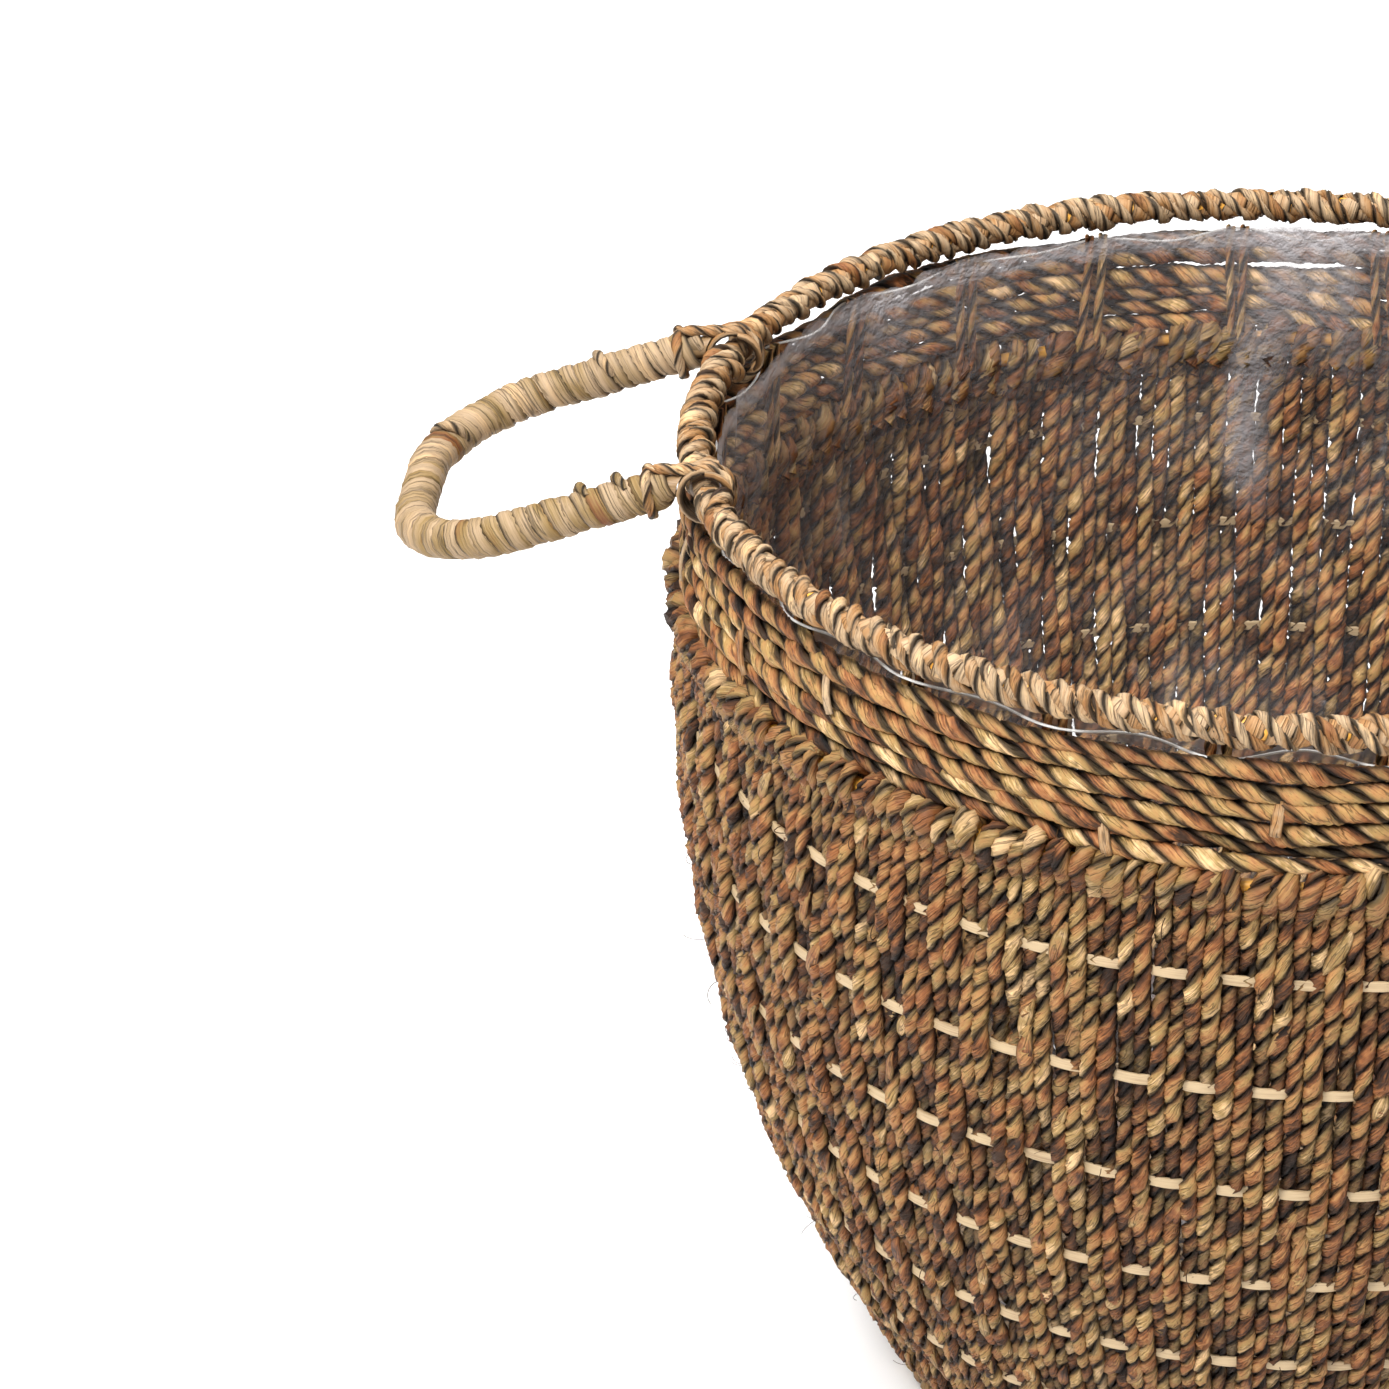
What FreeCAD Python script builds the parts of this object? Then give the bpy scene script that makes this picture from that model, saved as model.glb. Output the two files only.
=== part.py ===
"""Round seagrass storage basket with two lashed handles and a clear liner, as a parametric document.

The wall's middle surface is one arc turned about Z. Every hoop, strip and film below the neck takes its
radius from that arc, and every height hangs from the rim or stands on the floor. The basket stands on
z = 0, and its two handles lie along X.
"""
import FreeCAD, Part
import os
import re
import Sketcher

V = FreeCAD.Vector
doc = FreeCAD.newDocument("SeagrassBasket")

# Driving dimensions, in millimetres, degrees or pieces.
DIMENSIONS = [
    ("rim_radius", 172.0, "centre line of the rim hoop"),
    ("rim_height", 293.0, "centre line of the rim hoop above the floor"),
    ("rim_core", 3.0, "radius of the rim's cane hoop"),
    ("rim_cover", 1.9, "thickness of the rim's seagrass wrap"),
    ("belly_outset", 2.6, "how far the wall's widest point stands outside the rim's centre line"),
    ("belly_drop", 68.0, "how far the widest point is below the rim"),
    ("profile_radius", 390.0, "radius of the wall's arc, seen from the side"),
    ("wall", 7.0, "thickness of the wall of ropes"),
    ("twine", 2.3, "radius of a two-ply neck rope"),
    ("neck_gap", 0.7, "gap between neck ropes"),
    ("neck_outset", 1.5, "how far the neck ropes stand outside the rim's centre line"),
    ("stake", 1.9, "radius of a neck stake"),
    ("stakes", 24, "number of neck stakes"),
    ("shoulder_core", 2.0, "radius of the shoulder's cane hoop"),
    ("shoulder_cover", 2.4, "thickness of the shoulder's wrap"),
    ("strip_width", 3.0, "width of a cane strip"),
    ("strip_thick", 1.2, "thickness of a cane strip"),
    ("strip_drop", 27.6, "highest cane strip below the shoulder hoop"),
    ("strip_foot", 17.5, "lowest cane strip above the base hoop"),
    ("base_core", 2.5, "radius of the base's cane hoop"),
    ("base_cover", 2.6, "thickness of the base's wrap"),
    ("coil", 6.0, "thickness of the coiled base"),
    ("film", 0.6, "thickness of the liner"),
    ("film_gap", 1.0, "gap between the liner and the basket"),
    ("film_drop", 0.9, "liner's open edge below the neck's top"),
    ("thread", 0.35, "radius of the liner's sewing thread"),
    ("thread_drop", 3.0, "how far the thread runs below the liner's edge"),
    ("handle_half", 46.5, "half the distance between a handle's two legs"),
    ("handle_reach", 89.5, "from the hinge line to the middle of the grip"),
    ("handle_bend", 34.0, "radius of a handle's two corners"),
    ("handle_core", 3.0, "radius of a handle's cane core"),
    ("handle_cover", 2.6, "thickness of a handle's wrap"),
    ("handle_lift", 4.5, "how far the legs stand above the hinge line"),
    ("handle_droop", 20.0, "how far a handle hangs below level"),
    ("eye_thick", 1.8, "thickness of a handle's lashing"),
    ("eye_width", 7.0, "width of a handle's lashing, along the hinge line"),
    ("fit", 0.1, "clearance between pieces of the basket that are bound together"),
    ("play", 0.4, "clearance between a handle and the basket"),
]
NECK_ROPES = 6
STRIPS = 7

sizes = doc.addObject("Spreadsheet::Sheet", "Sizes")
for row, (alias, value, note) in enumerate(DIMENSIONS, 1):
    sizes.set(f"A{row}", str(value))
    sizes.set(f"B{row}", note)
    sizes.setAlias(f"A{row}", alias)
doc.recompute()
aliases = {alias for alias, _, _ in DIMENSIONS}


def cells(text):
    """The expression with each dimension's name written as its cell of the sheet."""
    return re.sub(r"[a-z_]+", lambda m: "Sizes." + m[0] if m[0] in aliases else m[0], text)


def wall_at(height, offset="0"):
    """Radius of the wall's arc at a height, grown by an offset from its middle surface."""
    return (f"(rim_radius + belly_outset - profile_radius + sqrt((profile_radius + {offset})^2"
            f" - ({height} - {BELLY_HEIGHT})^2))")


# Distances that several pieces share.
RIM_TUBE = "(rim_core + rim_cover)"
SHOULDER_TUBE = "(shoulder_core + shoulder_cover)"
BASE_TUBE = "(base_core + base_cover)"
BELLY_HEIGHT = "(rim_height - belly_drop)"

# The hinge line is the chord through a handle's two lashings. The rim crosses a lashing at a slant, so the
# bore grows with that slant and with the lashing's width.
HINGE_X = "sqrt(rim_radius^2 - handle_half^2)"
EYE_BORE = f"(({RIM_TUBE} * rim_radius + eye_width / 2 * handle_half) / {HINGE_X} + play)"
EYE_OUT = f"({EYE_BORE} + eye_thick)"

# The neck's ropes fill the height between the lashings and the shoulder.
NECK_TOP = f"(rim_height - {EYE_OUT} - play)"
NECK_PITCH = "(2 * twine + neck_gap)"
NECK_BOTTOM = f"({NECK_TOP} - {NECK_ROPES} * {NECK_PITCH})"
NECK_RADIUS = "(rim_radius + neck_outset)"
STAKE_RADIUS = f"({NECK_RADIUS} - twine - stake - fit)"
SHOULDER_HEIGHT = f"({NECK_BOTTOM} - fit - {SHOULDER_TUBE})"

# The wall stands between the base hoop and the shoulder hoop.
WALL_TOP = f"({SHOULDER_HEIGHT} - {SHOULDER_TUBE} - fit)"
WALL_BOTTOM = f"(2 * {BASE_TUBE} + fit)"
STRIP_TOP = f"({SHOULDER_HEIGHT} - strip_drop)"
STRIP_BOTTOM = f"({BASE_TUBE} + strip_foot)"

# The liner hangs inside the neck's stakes, the shoulder and the wall, and bends in round the base hoop.
FILM_NECK = f"({STAKE_RADIUS} - stake - film_gap)"
FILM_TOP = f"({NECK_TOP} - film_drop)"
FILM_FLOOR = "(coil + film_gap)"
pieces = []


def bind(thing, **expressions):
    """Binds properties to expressions on the sheet. Two underscores stand for a dot."""
    for name, text in expressions.items():
        thing.setExpression(name.replace("__", "."), cells(text))
    return thing


def piece(thing, label):
    """Marks an object as a sub-part, under the name of its file."""
    thing.Label = label
    pieces.append(thing)
    return thing


def torus(name, radius, tube, height):
    ring = doc.addObject("Part::Torus", name)
    return bind(ring, Radius1=radius, Radius2=tube, Placement__Base__z=height)


def cylinder(name, radius, bottom, top):
    solid = doc.addObject("Part::Cylinder", name)
    return bind(solid, Radius=radius, Height=f"{top} - {bottom}", Placement__Base__z=bottom)


def boolean(kind, name, base, tool):
    result = doc.addObject("Part::" + kind, name)
    result.Base = base
    result.Tool = tool
    return result


def sketch_on(body, role, name):
    """An empty sketch on one of a body's own origin planes."""
    sketch = body.newObject("Sketcher::SketchObject", name)
    sketch.AttachmentSupport = (next(f for f in body.Origin.OriginFeatures if f.Role == role), [""])
    sketch.MapMode = "FlatFace"
    return sketch


def constrain(sketch, kind, *where, size=None):
    """A constraint of a sketch. With a size, its value is bound to that expression."""
    index = sketch.addConstraint(Sketcher.Constraint(kind, *where))
    if size:
        sketch.setExpression(f"Constraints[{index}]", cells(size))


def value(expression):
    """An expression's present value, for the first guess of a sketch's geometry."""
    return sizes.evalExpression(cells(expression).replace("Sizes.", ""))


START, END, CENTRE, ORIGIN, AXIS_V = 1, 2, 3, -1, -2


def inside_wall(name, offset, low, high):
    """The solid inside the wall's arc, grown by an offset, between two heights."""
    body = doc.addObject("PartDesign::Body", name)
    sketch = sketch_on(body, "XZ_Plane", name + "Profile")
    z_low, z_high, belly = value(low), value(high), value(BELLY_HEIGHT)
    bulge = value("rim_radius + belly_outset - profile_radius")
    arc_radius = value(f"profile_radius + {offset}")
    foot = V(value(wall_at(low, offset)), z_low, 0)
    brow = V(value(wall_at(high, offset)), z_high, 0)
    circle = Part.Circle(V(bulge, belly, 0), V(0, 0, 1), arc_radius)
    sketch.addGeometry([
        Part.ArcOfCircle(circle, circle.parameter(foot) - 2 * 3.141592653589793, circle.parameter(brow)),
        Part.LineSegment(brow, V(0, z_high, 0)),
        Part.LineSegment(V(0, z_high, 0), V(0, z_low, 0)),
        Part.LineSegment(V(0, z_low, 0), foot),
    ], False)
    for line in range(4):
        constrain(sketch, "Coincident", line, END, (line + 1) % 4, START)
    constrain(sketch, "Horizontal", 1)
    constrain(sketch, "Horizontal", 3)
    constrain(sketch, "PointOnObject", 2, START, AXIS_V)
    constrain(sketch, "PointOnObject", 2, END, AXIS_V)
    constrain(sketch, "DistanceX", 0, CENTRE, ORIGIN, 1, -bulge,
              size="profile_radius - belly_outset - rim_radius")
    constrain(sketch, "DistanceY", ORIGIN, 1, 0, CENTRE, belly, size=BELLY_HEIGHT)
    constrain(sketch, "Radius", 0, arc_radius, size=f"profile_radius + {offset}")
    constrain(sketch, "DistanceY", ORIGIN, 1, 2, END, z_low, size=low)
    constrain(sketch, "DistanceY", ORIGIN, 1, 2, START, z_high, size=high)
    turned = body.newObject("PartDesign::Revolution", name + "Turned")
    turned.Profile = sketch
    turned.ReferenceAxis = (sketch, ["V_Axis"])
    turned.Angle = 360
    return body


def wrapped_hoop(word, radius, core, tube, height):
    """A cane hoop and the seagrass wound on it."""
    piece(torus(word + "Core", radius, core, height), word + "_hoop")
    outside = torus(word + "WrapOutside", radius, tube, height)
    inside = torus(word + "WrapInside", radius, f"{core} + fit", height)
    piece(boolean("Cut", word + "Wrap", outside, inside), word + "_wrap")


def neck():
    """Horizontal ropes between the rim and the shoulder, and the upright stakes behind them."""
    for number in range(1, NECK_ROPES + 1):
        height = f"{NECK_TOP} - ({number} - 0.5) * {NECK_PITCH}"
        piece(torus(f"NeckRope{number}", NECK_RADIUS, "twine", height), f"neck_rope_{number}")
    body = doc.addObject("PartDesign::Body", "NeckStakes")
    body.AllowCompound = True
    sketch = sketch_on(body, "XY_Plane", "StakeSection")
    bind(sketch, AttachmentOffset__Base__z=NECK_BOTTOM)
    slant = 3.141592653589793 / value("stakes")
    middle = V(value(STAKE_RADIUS), 0, 0)
    middle = FreeCAD.Rotation(V(0, 0, 1), Radian=slant).multVec(middle)
    sketch.addGeometry(Part.Circle(middle, V(0, 0, 1), value("stake")), False)
    spoke = sketch.addGeometry(Part.LineSegment(V(0, 0, 0), middle), True)
    constrain(sketch, "Coincident", spoke, START, ORIGIN, 1)
    constrain(sketch, "Coincident", spoke, END, 0, CENTRE)
    constrain(sketch, "Radius", 0, value("stake"), size="stake")
    constrain(sketch, "Distance", spoke, middle.Length, size=STAKE_RADIUS)
    constrain(sketch, "Angle", spoke, slant, size="180deg / stakes")
    stake = body.newObject("PartDesign::Pad", "Stake")
    stake.Profile = sketch
    bind(stake, Length=f"rim_height - {RIM_TUBE} - fit - {NECK_BOTTOM}")
    ring = body.newObject("PartDesign::PolarPattern", "StakeRing")
    ring.Originals = [stake]
    ring.Axis = (sketch, ["N_Axis"])
    ring.Angle = 360
    bind(ring, Occurrences="stakes")
    body.Tip = ring
    piece(body, "neck_stakes")


def wall():
    """The wall of upright ropes, and the cane strips in grooves round its outside."""
    shell = boolean("Cut", "WallShell", inside_wall("WallOutside", "wall / 2", WALL_BOTTOM, WALL_TOP),
                    inside_wall("WallInside", "-wall / 2", WALL_BOTTOM, WALL_TOP))
    first = f"asin(({STRIP_TOP} - {BELLY_HEIGHT}) / profile_radius)"
    last = f"asin(({STRIP_BOTTOM} - {BELLY_HEIGHT}) / profile_radius)"
    for number in range(1, STRIPS + 1):
        share = (number - 1) / (STRIPS - 1)
        height = f"({BELLY_HEIGHT} + profile_radius * sin({first} + ({last} - {first}) * {share:.4f}))"
        face = wall_at(height, "wall / 2")
        low, high = f"({height} - strip_width / 2)", f"({height} + strip_width / 2)"
        strip = boolean("Cut", f"Strip{number}",
                        cylinder(f"Strip{number}Face", face, low, high),
                        cylinder(f"Strip{number}Back", f"{face} - strip_thick", low, high))
        piece(strip, f"cane_strip_{number}")
        low, high = f"({low} - fit)", f"({high} + fit)"
        groove = boolean("Cut", f"Groove{number}",
                         cylinder(f"Groove{number}Mouth", f"{face} + strip_width", low, high),
                         cylinder(f"Groove{number}Bed", f"{face} - strip_thick - fit", low, high))
        shell = boolean("Cut", f"WallGrooved{number}", shell, groove)
    piece(shell, "woven_wall")


def liner():
    """A clear bag inside the basket, and the thread that sews its edge under the rim."""
    bag = []
    for name, inset in (("LinerOutside", "0"), ("LinerInside", "film")):
        belly = inside_wall(name + "Belly", f"(-wall / 2 - film_gap - {inset})",
                            f"({FILM_FLOOR} + {inset})", f"({WALL_TOP} - {inset})")
        collar = cylinder(name + "Collar", f"{FILM_NECK} - {inset}", f"({WALL_TOP} - 2 * film)",
                          f"({FILM_TOP} + 2 * {inset})")
        foot = torus(name + "Foot", wall_at(BASE_TUBE), f"{BASE_TUBE} + film_gap + {inset}", BASE_TUBE)
        bag.append(boolean("Cut", name, boolean("Fuse", name + "Tall", belly, collar), foot))
    piece(boolean("Cut", "Liner", *bag), "liner")
    piece(torus("LinerThread", f"{FILM_NECK} + film_gap / 2", "thread", f"{FILM_TOP} - thread_drop"),
          "liner_thread")


def handle_rod(name, outer, inner=None):
    """A round rod bent to a U in front of the hinge line, hollow if it has an inner radius."""
    body = doc.addObject("PartDesign::Body", name)
    half, reach, bend, lift = (value("handle_" + word) for word in ("half", "reach", "bend", "lift"))
    path = sketch_on(body, "XY_Plane", name + "Path")
    bind(path, AttachmentOffset__Base__z="handle_lift")
    left, right = V(bend - reach, half, 0), V(bend - reach, -half, 0)
    tip_left, tip_right = V(-reach, half - bend, 0), V(-reach, bend - half, 0)
    knee_left = Part.ArcOfCircle(Part.Circle(left - V(0, bend, 0), V(0, 0, 1), bend),
                                 3.141592653589793 / 2, 3.141592653589793)
    knee_right = Part.ArcOfCircle(Part.Circle(right + V(0, bend, 0), V(0, 0, 1), bend),
                                  3.141592653589793, 3.141592653589793 * 1.5)
    path.addGeometry([Part.LineSegment(V(0, half, 0), left), knee_left,
                      Part.LineSegment(tip_left, tip_right), knee_right,
                      Part.LineSegment(right, V(0, -half, 0))], False)
    for run in range(4):
        constrain(path, "Tangent", run, END, run + 1, START)
    constrain(path, "Horizontal", 0)
    constrain(path, "Vertical", 2)
    constrain(path, "Horizontal", 4)
    constrain(path, "PointOnObject", 0, START, AXIS_V)
    constrain(path, "PointOnObject", 4, END, AXIS_V)
    constrain(path, "Equal", 1, 3)
    constrain(path, "Radius", 1, bend, size="handle_bend")
    constrain(path, "DistanceY", ORIGIN, 1, 0, START, half, size="handle_half")
    constrain(path, "DistanceY", 4, END, ORIGIN, 1, half, size="handle_half")
    constrain(path, "DistanceX", 2, START, ORIGIN, 1, reach, size="handle_reach")

    section = sketch_on(body, "YZ_Plane", name + "Section")
    radii = [outer] + ([inner] if inner else [])
    for number, radius in enumerate(radii):
        section.addGeometry(Part.Circle(V(half, lift, 0), V(0, 0, 1), value(radius)), False)
        constrain(section, "Radius", number, value(radius), size=radius)
    constrain(section, "DistanceX", ORIGIN, 1, 0, CENTRE, half, size="handle_half")
    constrain(section, "DistanceY", ORIGIN, 1, 0, CENTRE, lift, size="handle_lift")
    if inner:
        constrain(section, "Coincident", 0, CENTRE, 1, CENTRE)
    doc.recompute()
    rod = body.newObject("PartDesign::AdditivePipe", name + "Rod")
    rod.Profile = section
    rod.Spine = (path, [f"Edge{edge}" for edge in range(1, 6)])

    eye = sketch_on(body, "XZ_Plane", name + "Eye")
    eye.addGeometry(Part.Circle(V(0, 0, 0), V(0, 0, 1), value(EYE_OUT)), False)
    constrain(eye, "Coincident", 0, CENTRE, ORIGIN, 1)
    constrain(eye, "Radius", 0, value(EYE_OUT), size=f"{EYE_OUT} + fit")
    doc.recompute()
    saddle = body.newObject("PartDesign::Pocket", name + "Saddle")
    saddle.Profile = eye
    saddle.Midplane = True
    bind(saddle, Length="4 * handle_half")
    return body


def lashing(name, side):
    """A ring of seagrass round the wrapped rim, at one end of a handle."""
    rings = []
    for part, radius in (("Outside", EYE_OUT), ("Bore", EYE_BORE)):
        ring = doc.addObject("Part::Cylinder", name + part)
        ring.Placement.Rotation = FreeCAD.Rotation(V(1, 0, 0), 90)
        bind(ring, Radius=radius, Height="eye_width",
             Placement__Base__y=f"{side} * handle_half + eye_width / 2")
        rings.append(ring)
    return boolean("Cut", name, *rings)


def handles():
    """The left handle, hung on its hinge line, and its mirror image on the right."""
    tube = "handle_core + handle_cover"
    made = [
        ("core", handle_rod("HandleCore", "handle_core")),
        ("wrap", handle_rod("HandleWrap", tube, "handle_core + fit")),
        ("lashing_front", lashing("LashingFront", -1)),
        ("lashing_back", lashing("LashingBack", 1)),
    ]
    for word, thing in made:
        thing.Placement.Rotation = FreeCAD.Rotation(V(0, -1, 0), value("handle_droop"))
        bind(thing, Placement__Base__x="-" + HINGE_X, Placement__Base__z="rim_height",
             Placement__Rotation__Angle="handle_droop")
        piece(thing, "handle_left_" + word)
        other = doc.addObject("Part::Mirroring", thing.Name + "Mirrored")
        other.Source = thing
        other.Normal = V(1, 0, 0)
        piece(other, "handle_right_" + word)


wrapped_hoop("rim", "rim_radius", "rim_core", RIM_TUBE, "rim_height")
neck()
wrapped_hoop("shoulder", wall_at(SHOULDER_HEIGHT), "shoulder_core", SHOULDER_TUBE, SHOULDER_HEIGHT)
wall()
wrapped_hoop("base", wall_at(BASE_TUBE), "base_core", BASE_TUBE, BASE_TUBE)
piece(cylinder("BaseCoil", f"{wall_at(BASE_TUBE)} - {BASE_TUBE} - fit", "0", "coil"), "base_coil")
liner()
handles()
doc.recompute()

# Everything is tested before anything is written.
faults = [thing.Name for thing in doc.Objects if {"Invalid", "Error"} & set(thing.State)]
faults += [thing.Label for thing in pieces
           if thing.Shape.isNull() or not thing.Shape.isValid() or not thing.Shape.Solids]
if faults:
    raise RuntimeError("these objects failed: " + ", ".join(faults))
os.makedirs("parts", exist_ok=True)
for thing in pieces:
    thing.Shape.exportStep(f"parts/{thing.Label}.step")
    print(f"{thing.Label}: {len(thing.Shape.Solids)} solid(s), {thing.Shape.Volume:.1f} mm3")
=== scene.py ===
"""Round seagrass storage basket: twisted ropes, wraps, cane strips and a clear liner on the fixed frame.

Every rope is grown by one Geometry Nodes tree from the line that it follows, and so is every wrap. Lines
come from the frame's hoops and strips. Lengths are in metres.
"""
import math

import bpy
import numpy as np
from bpy.props import FloatProperty, FloatVectorProperty, IntProperty, PointerProperty
from mathutils import Euler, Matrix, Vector


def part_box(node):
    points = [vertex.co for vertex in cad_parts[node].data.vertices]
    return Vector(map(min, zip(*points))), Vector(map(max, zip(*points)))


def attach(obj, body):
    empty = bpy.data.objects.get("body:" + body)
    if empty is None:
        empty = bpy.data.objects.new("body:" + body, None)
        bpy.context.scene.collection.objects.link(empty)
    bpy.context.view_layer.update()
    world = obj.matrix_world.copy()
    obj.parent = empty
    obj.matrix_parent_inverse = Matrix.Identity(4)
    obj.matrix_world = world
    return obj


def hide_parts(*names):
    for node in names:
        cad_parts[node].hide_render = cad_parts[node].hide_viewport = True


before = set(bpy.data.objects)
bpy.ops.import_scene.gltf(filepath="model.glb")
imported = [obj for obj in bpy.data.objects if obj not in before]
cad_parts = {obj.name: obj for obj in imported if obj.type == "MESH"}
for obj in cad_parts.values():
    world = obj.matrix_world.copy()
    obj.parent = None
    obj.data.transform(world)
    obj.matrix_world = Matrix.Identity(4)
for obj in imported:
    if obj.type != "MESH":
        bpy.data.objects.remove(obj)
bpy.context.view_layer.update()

bl_info = {
    "name": "Seagrass Basket",
    "version": (1, 0, 0),
    "blender": (4, 5, 0),
    "location": "3D View > Sidebar > Basket",
    "description": "Builds a seagrass basket of twisted ropes over a fixed frame",
    "category": "Object",
}

TURN = 2 * math.pi
MM = 0.001
UNTWISTED = 1000.0  # a pitch so long that a strand runs straight


# ---------------------------------------------------------------- places on the frame

BOXES = {name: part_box(name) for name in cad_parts}


def middle(node):
    """The centre of a node's box."""
    low, high = BOXES[node]
    return (Vector(low) + Vector(high)) / 2


def hoop(node):
    """Radius of a hoop's centre line, its height and the radius of its own section."""
    low, high = BOXES[node]
    section = (high[2] - low[2]) / 2
    return high[0] - section, (high[2] + low[2]) / 2, section


def centre_through(a, b, c):
    """Centre of the circle through three points of the (radius, height) plane."""
    rows = np.array([[b[0] - a[0], b[1] - a[1]], [c[0] - a[0], c[1] - a[1]]])
    sums = np.array([b[0]**2 - a[0]**2 + b[1]**2 - a[1]**2, c[0]**2 - a[0]**2 + c[1]**2 - a[1]**2]) / 2
    return np.linalg.solve(rows, sums)


STRIPS = sorted(name for name in BOXES if name.startswith("cane_strip_"))
NECK_ROPES = sorted(name for name in BOXES if name.startswith("neck_rope_"))
LASHINGS = [middle(name) for name in BOXES if "_lashing_" in name]
STAKES = 24
RIM_R, RIM_Z, RIM_CORE = hoop("rim_hoop")
SHOULDER_R, SHOULDER_Z, SHOULDER_CORE = hoop("shoulder_hoop")
BASE_R, BASE_Z, BASE_CORE = hoop("base_hoop")
STRIP_FACES = [(BOXES[name][1][0], middle(name).z) for name in STRIPS]
ARC_CENTRE = centre_through(STRIP_FACES[0], STRIP_FACES[len(STRIPS) // 2], STRIP_FACES[-1])
ARC_MIDDLE = math.hypot(BASE_R - ARC_CENTRE[0], BASE_Z - ARC_CENTRE[1])


def slope_at(height):
    """Angle along the wall's arc at a height."""
    return math.asin((height - ARC_CENTRE[1]) / ARC_MIDDLE)


STRIP_SLOPES = [slope_at(height) for _, height in STRIP_FACES]


def round_point(radius, azimuth, height):
    """A point at a radius and an angle round the basket."""
    return (radius * math.cos(azimuth), radius * math.sin(azimuth), height)


def arc_point(slope, offset):
    """Radius and height on the wall's arc, at an angle along it and off its middle surface."""
    reach = ARC_MIDDLE + offset
    return ARC_CENTRE[0] + reach * math.cos(slope), ARC_CENTRE[1] + reach * math.sin(slope)


def wall_point(slope, offset, azimuth):
    radius, height = arc_point(slope, offset)
    return round_point(radius, azimuth, height)


def near_lashing(azimuth, spread):
    """One under a lashing, falling off smoothly along the rim. It is 0.37 at the spread."""
    ties = (math.atan2(spot.y, spot.x) for spot in LASHINGS)
    near = min(abs((azimuth - tie + math.pi) % TURN - math.pi) for tie in ties)
    return math.exp(-(near * RIM_R / spread) ** 2)


class Drift:
    """A smooth wandering number round the basket, the same every time for one seed."""

    def __init__(self, seed, waves=(2, 3, 5, 8, 13)):
        draw = np.random.default_rng(seed)
        self.waves = [(wave, draw.uniform(0, TURN), draw.uniform(0.6, 1.0) / wave**0.4) for wave in waves]
        self.size = math.sqrt(sum(share**2 for _, _, share in self.waves) / 2)

    def __call__(self, azimuth):
        return sum(share * math.sin(wave * azimuth + shift) for wave, shift, share in self.waves) / self.size


# ---------------------------------------------------------------- node trees

def arithmetic(operation, swapped=False):
    """A method that joins a socket and another value in a Math node."""
    def method(self, other):
        return self.maths(operation, *((other, self) if swapped else (self, other)))
    return method


class Socket:
    """An output of a node. Arithmetic on it adds Math nodes to its tree."""
    __add__ = __radd__ = arithmetic("ADD")
    __mul__ = __rmul__ = arithmetic("MULTIPLY")
    __sub__, __rsub__ = arithmetic("SUBTRACT"), arithmetic("SUBTRACT", swapped=True)
    __truediv__, __pow__, __gt__ = arithmetic("DIVIDE"), arithmetic("POWER"), arithmetic("GREATER_THAN")

    def __init__(self, graph, output):
        self.graph, self.output = graph, output

    def __abs__(self):
        return self.maths("ABSOLUTE", self)

    def maths(self, operation, *values):
        return self.graph.node("ShaderNodeMath", {"operation": operation}, dict(enumerate(values)))

    def between(self, low, high):
        """This value from 0 at low to 1 at high, held inside that range."""
        return self.graph.node("ShaderNodeMapRange", {"clamp": True},
                               {"Value": self, "From Min": low, "From Max": high})

    def other(self, name):
        """Another output of the same node."""
        outputs = self.output.node.outputs
        return Socket(self.graph, next(s for s in outputs if s.enabled and s.name == name))


class Graph:
    """A node tree and the one method that adds nodes to it."""

    def __init__(self, tree):
        self.tree = tree

    def node(self, kind, settings=None, inputs=None):
        """Adds a node, with its settings first, then the values or links of its sockets."""
        node = self.tree.nodes.new(kind)
        for name, value in (settings or {}).items():
            if name == "stops":
                self.fill_ramp(node.color_ramp, value)
            else:
                setattr(node, name, value)
        live = [socket for socket in node.inputs if socket.enabled]
        for key, value in (inputs or {}).items():
            socket = live[key] if isinstance(key, int) else next(s for s in live if s.name == key)
            if isinstance(value, Socket):
                self.tree.links.new(value.output, socket)
            else:
                socket.default_value = value
        outputs = [socket for socket in node.outputs if socket.enabled]
        return Socket(self, outputs[0]) if outputs else None

    @staticmethod
    def fill_ramp(ramp, stops):
        while len(ramp.elements) < len(stops):
            ramp.elements.new(1.0)
        for element, (place, colour) in zip(ramp.elements, stops):
            element.position = place
            element.color = (*colour, 1.0)

    def vector(self, operation, *values):
        return self.node("ShaderNodeVectorMath", {"operation": operation}, dict(enumerate(values)))

    def scaled(self, vector, factor):
        return self.node("ShaderNodeVectorMath", {"operation": "SCALE"}, {"Vector": vector, "Scale": factor})

    def triple(self, x, y, z):
        return self.node("ShaderNodeCombineXYZ", {}, {"X": x, "Y": y, "Z": z})

    def noise(self, vector, scale, detail=2.0, roughness=0.5):
        return self.node("ShaderNodeTexNoise", {},
                         {"Vector": vector, "Scale": scale, "Detail": detail, "Roughness": roughness})


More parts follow.
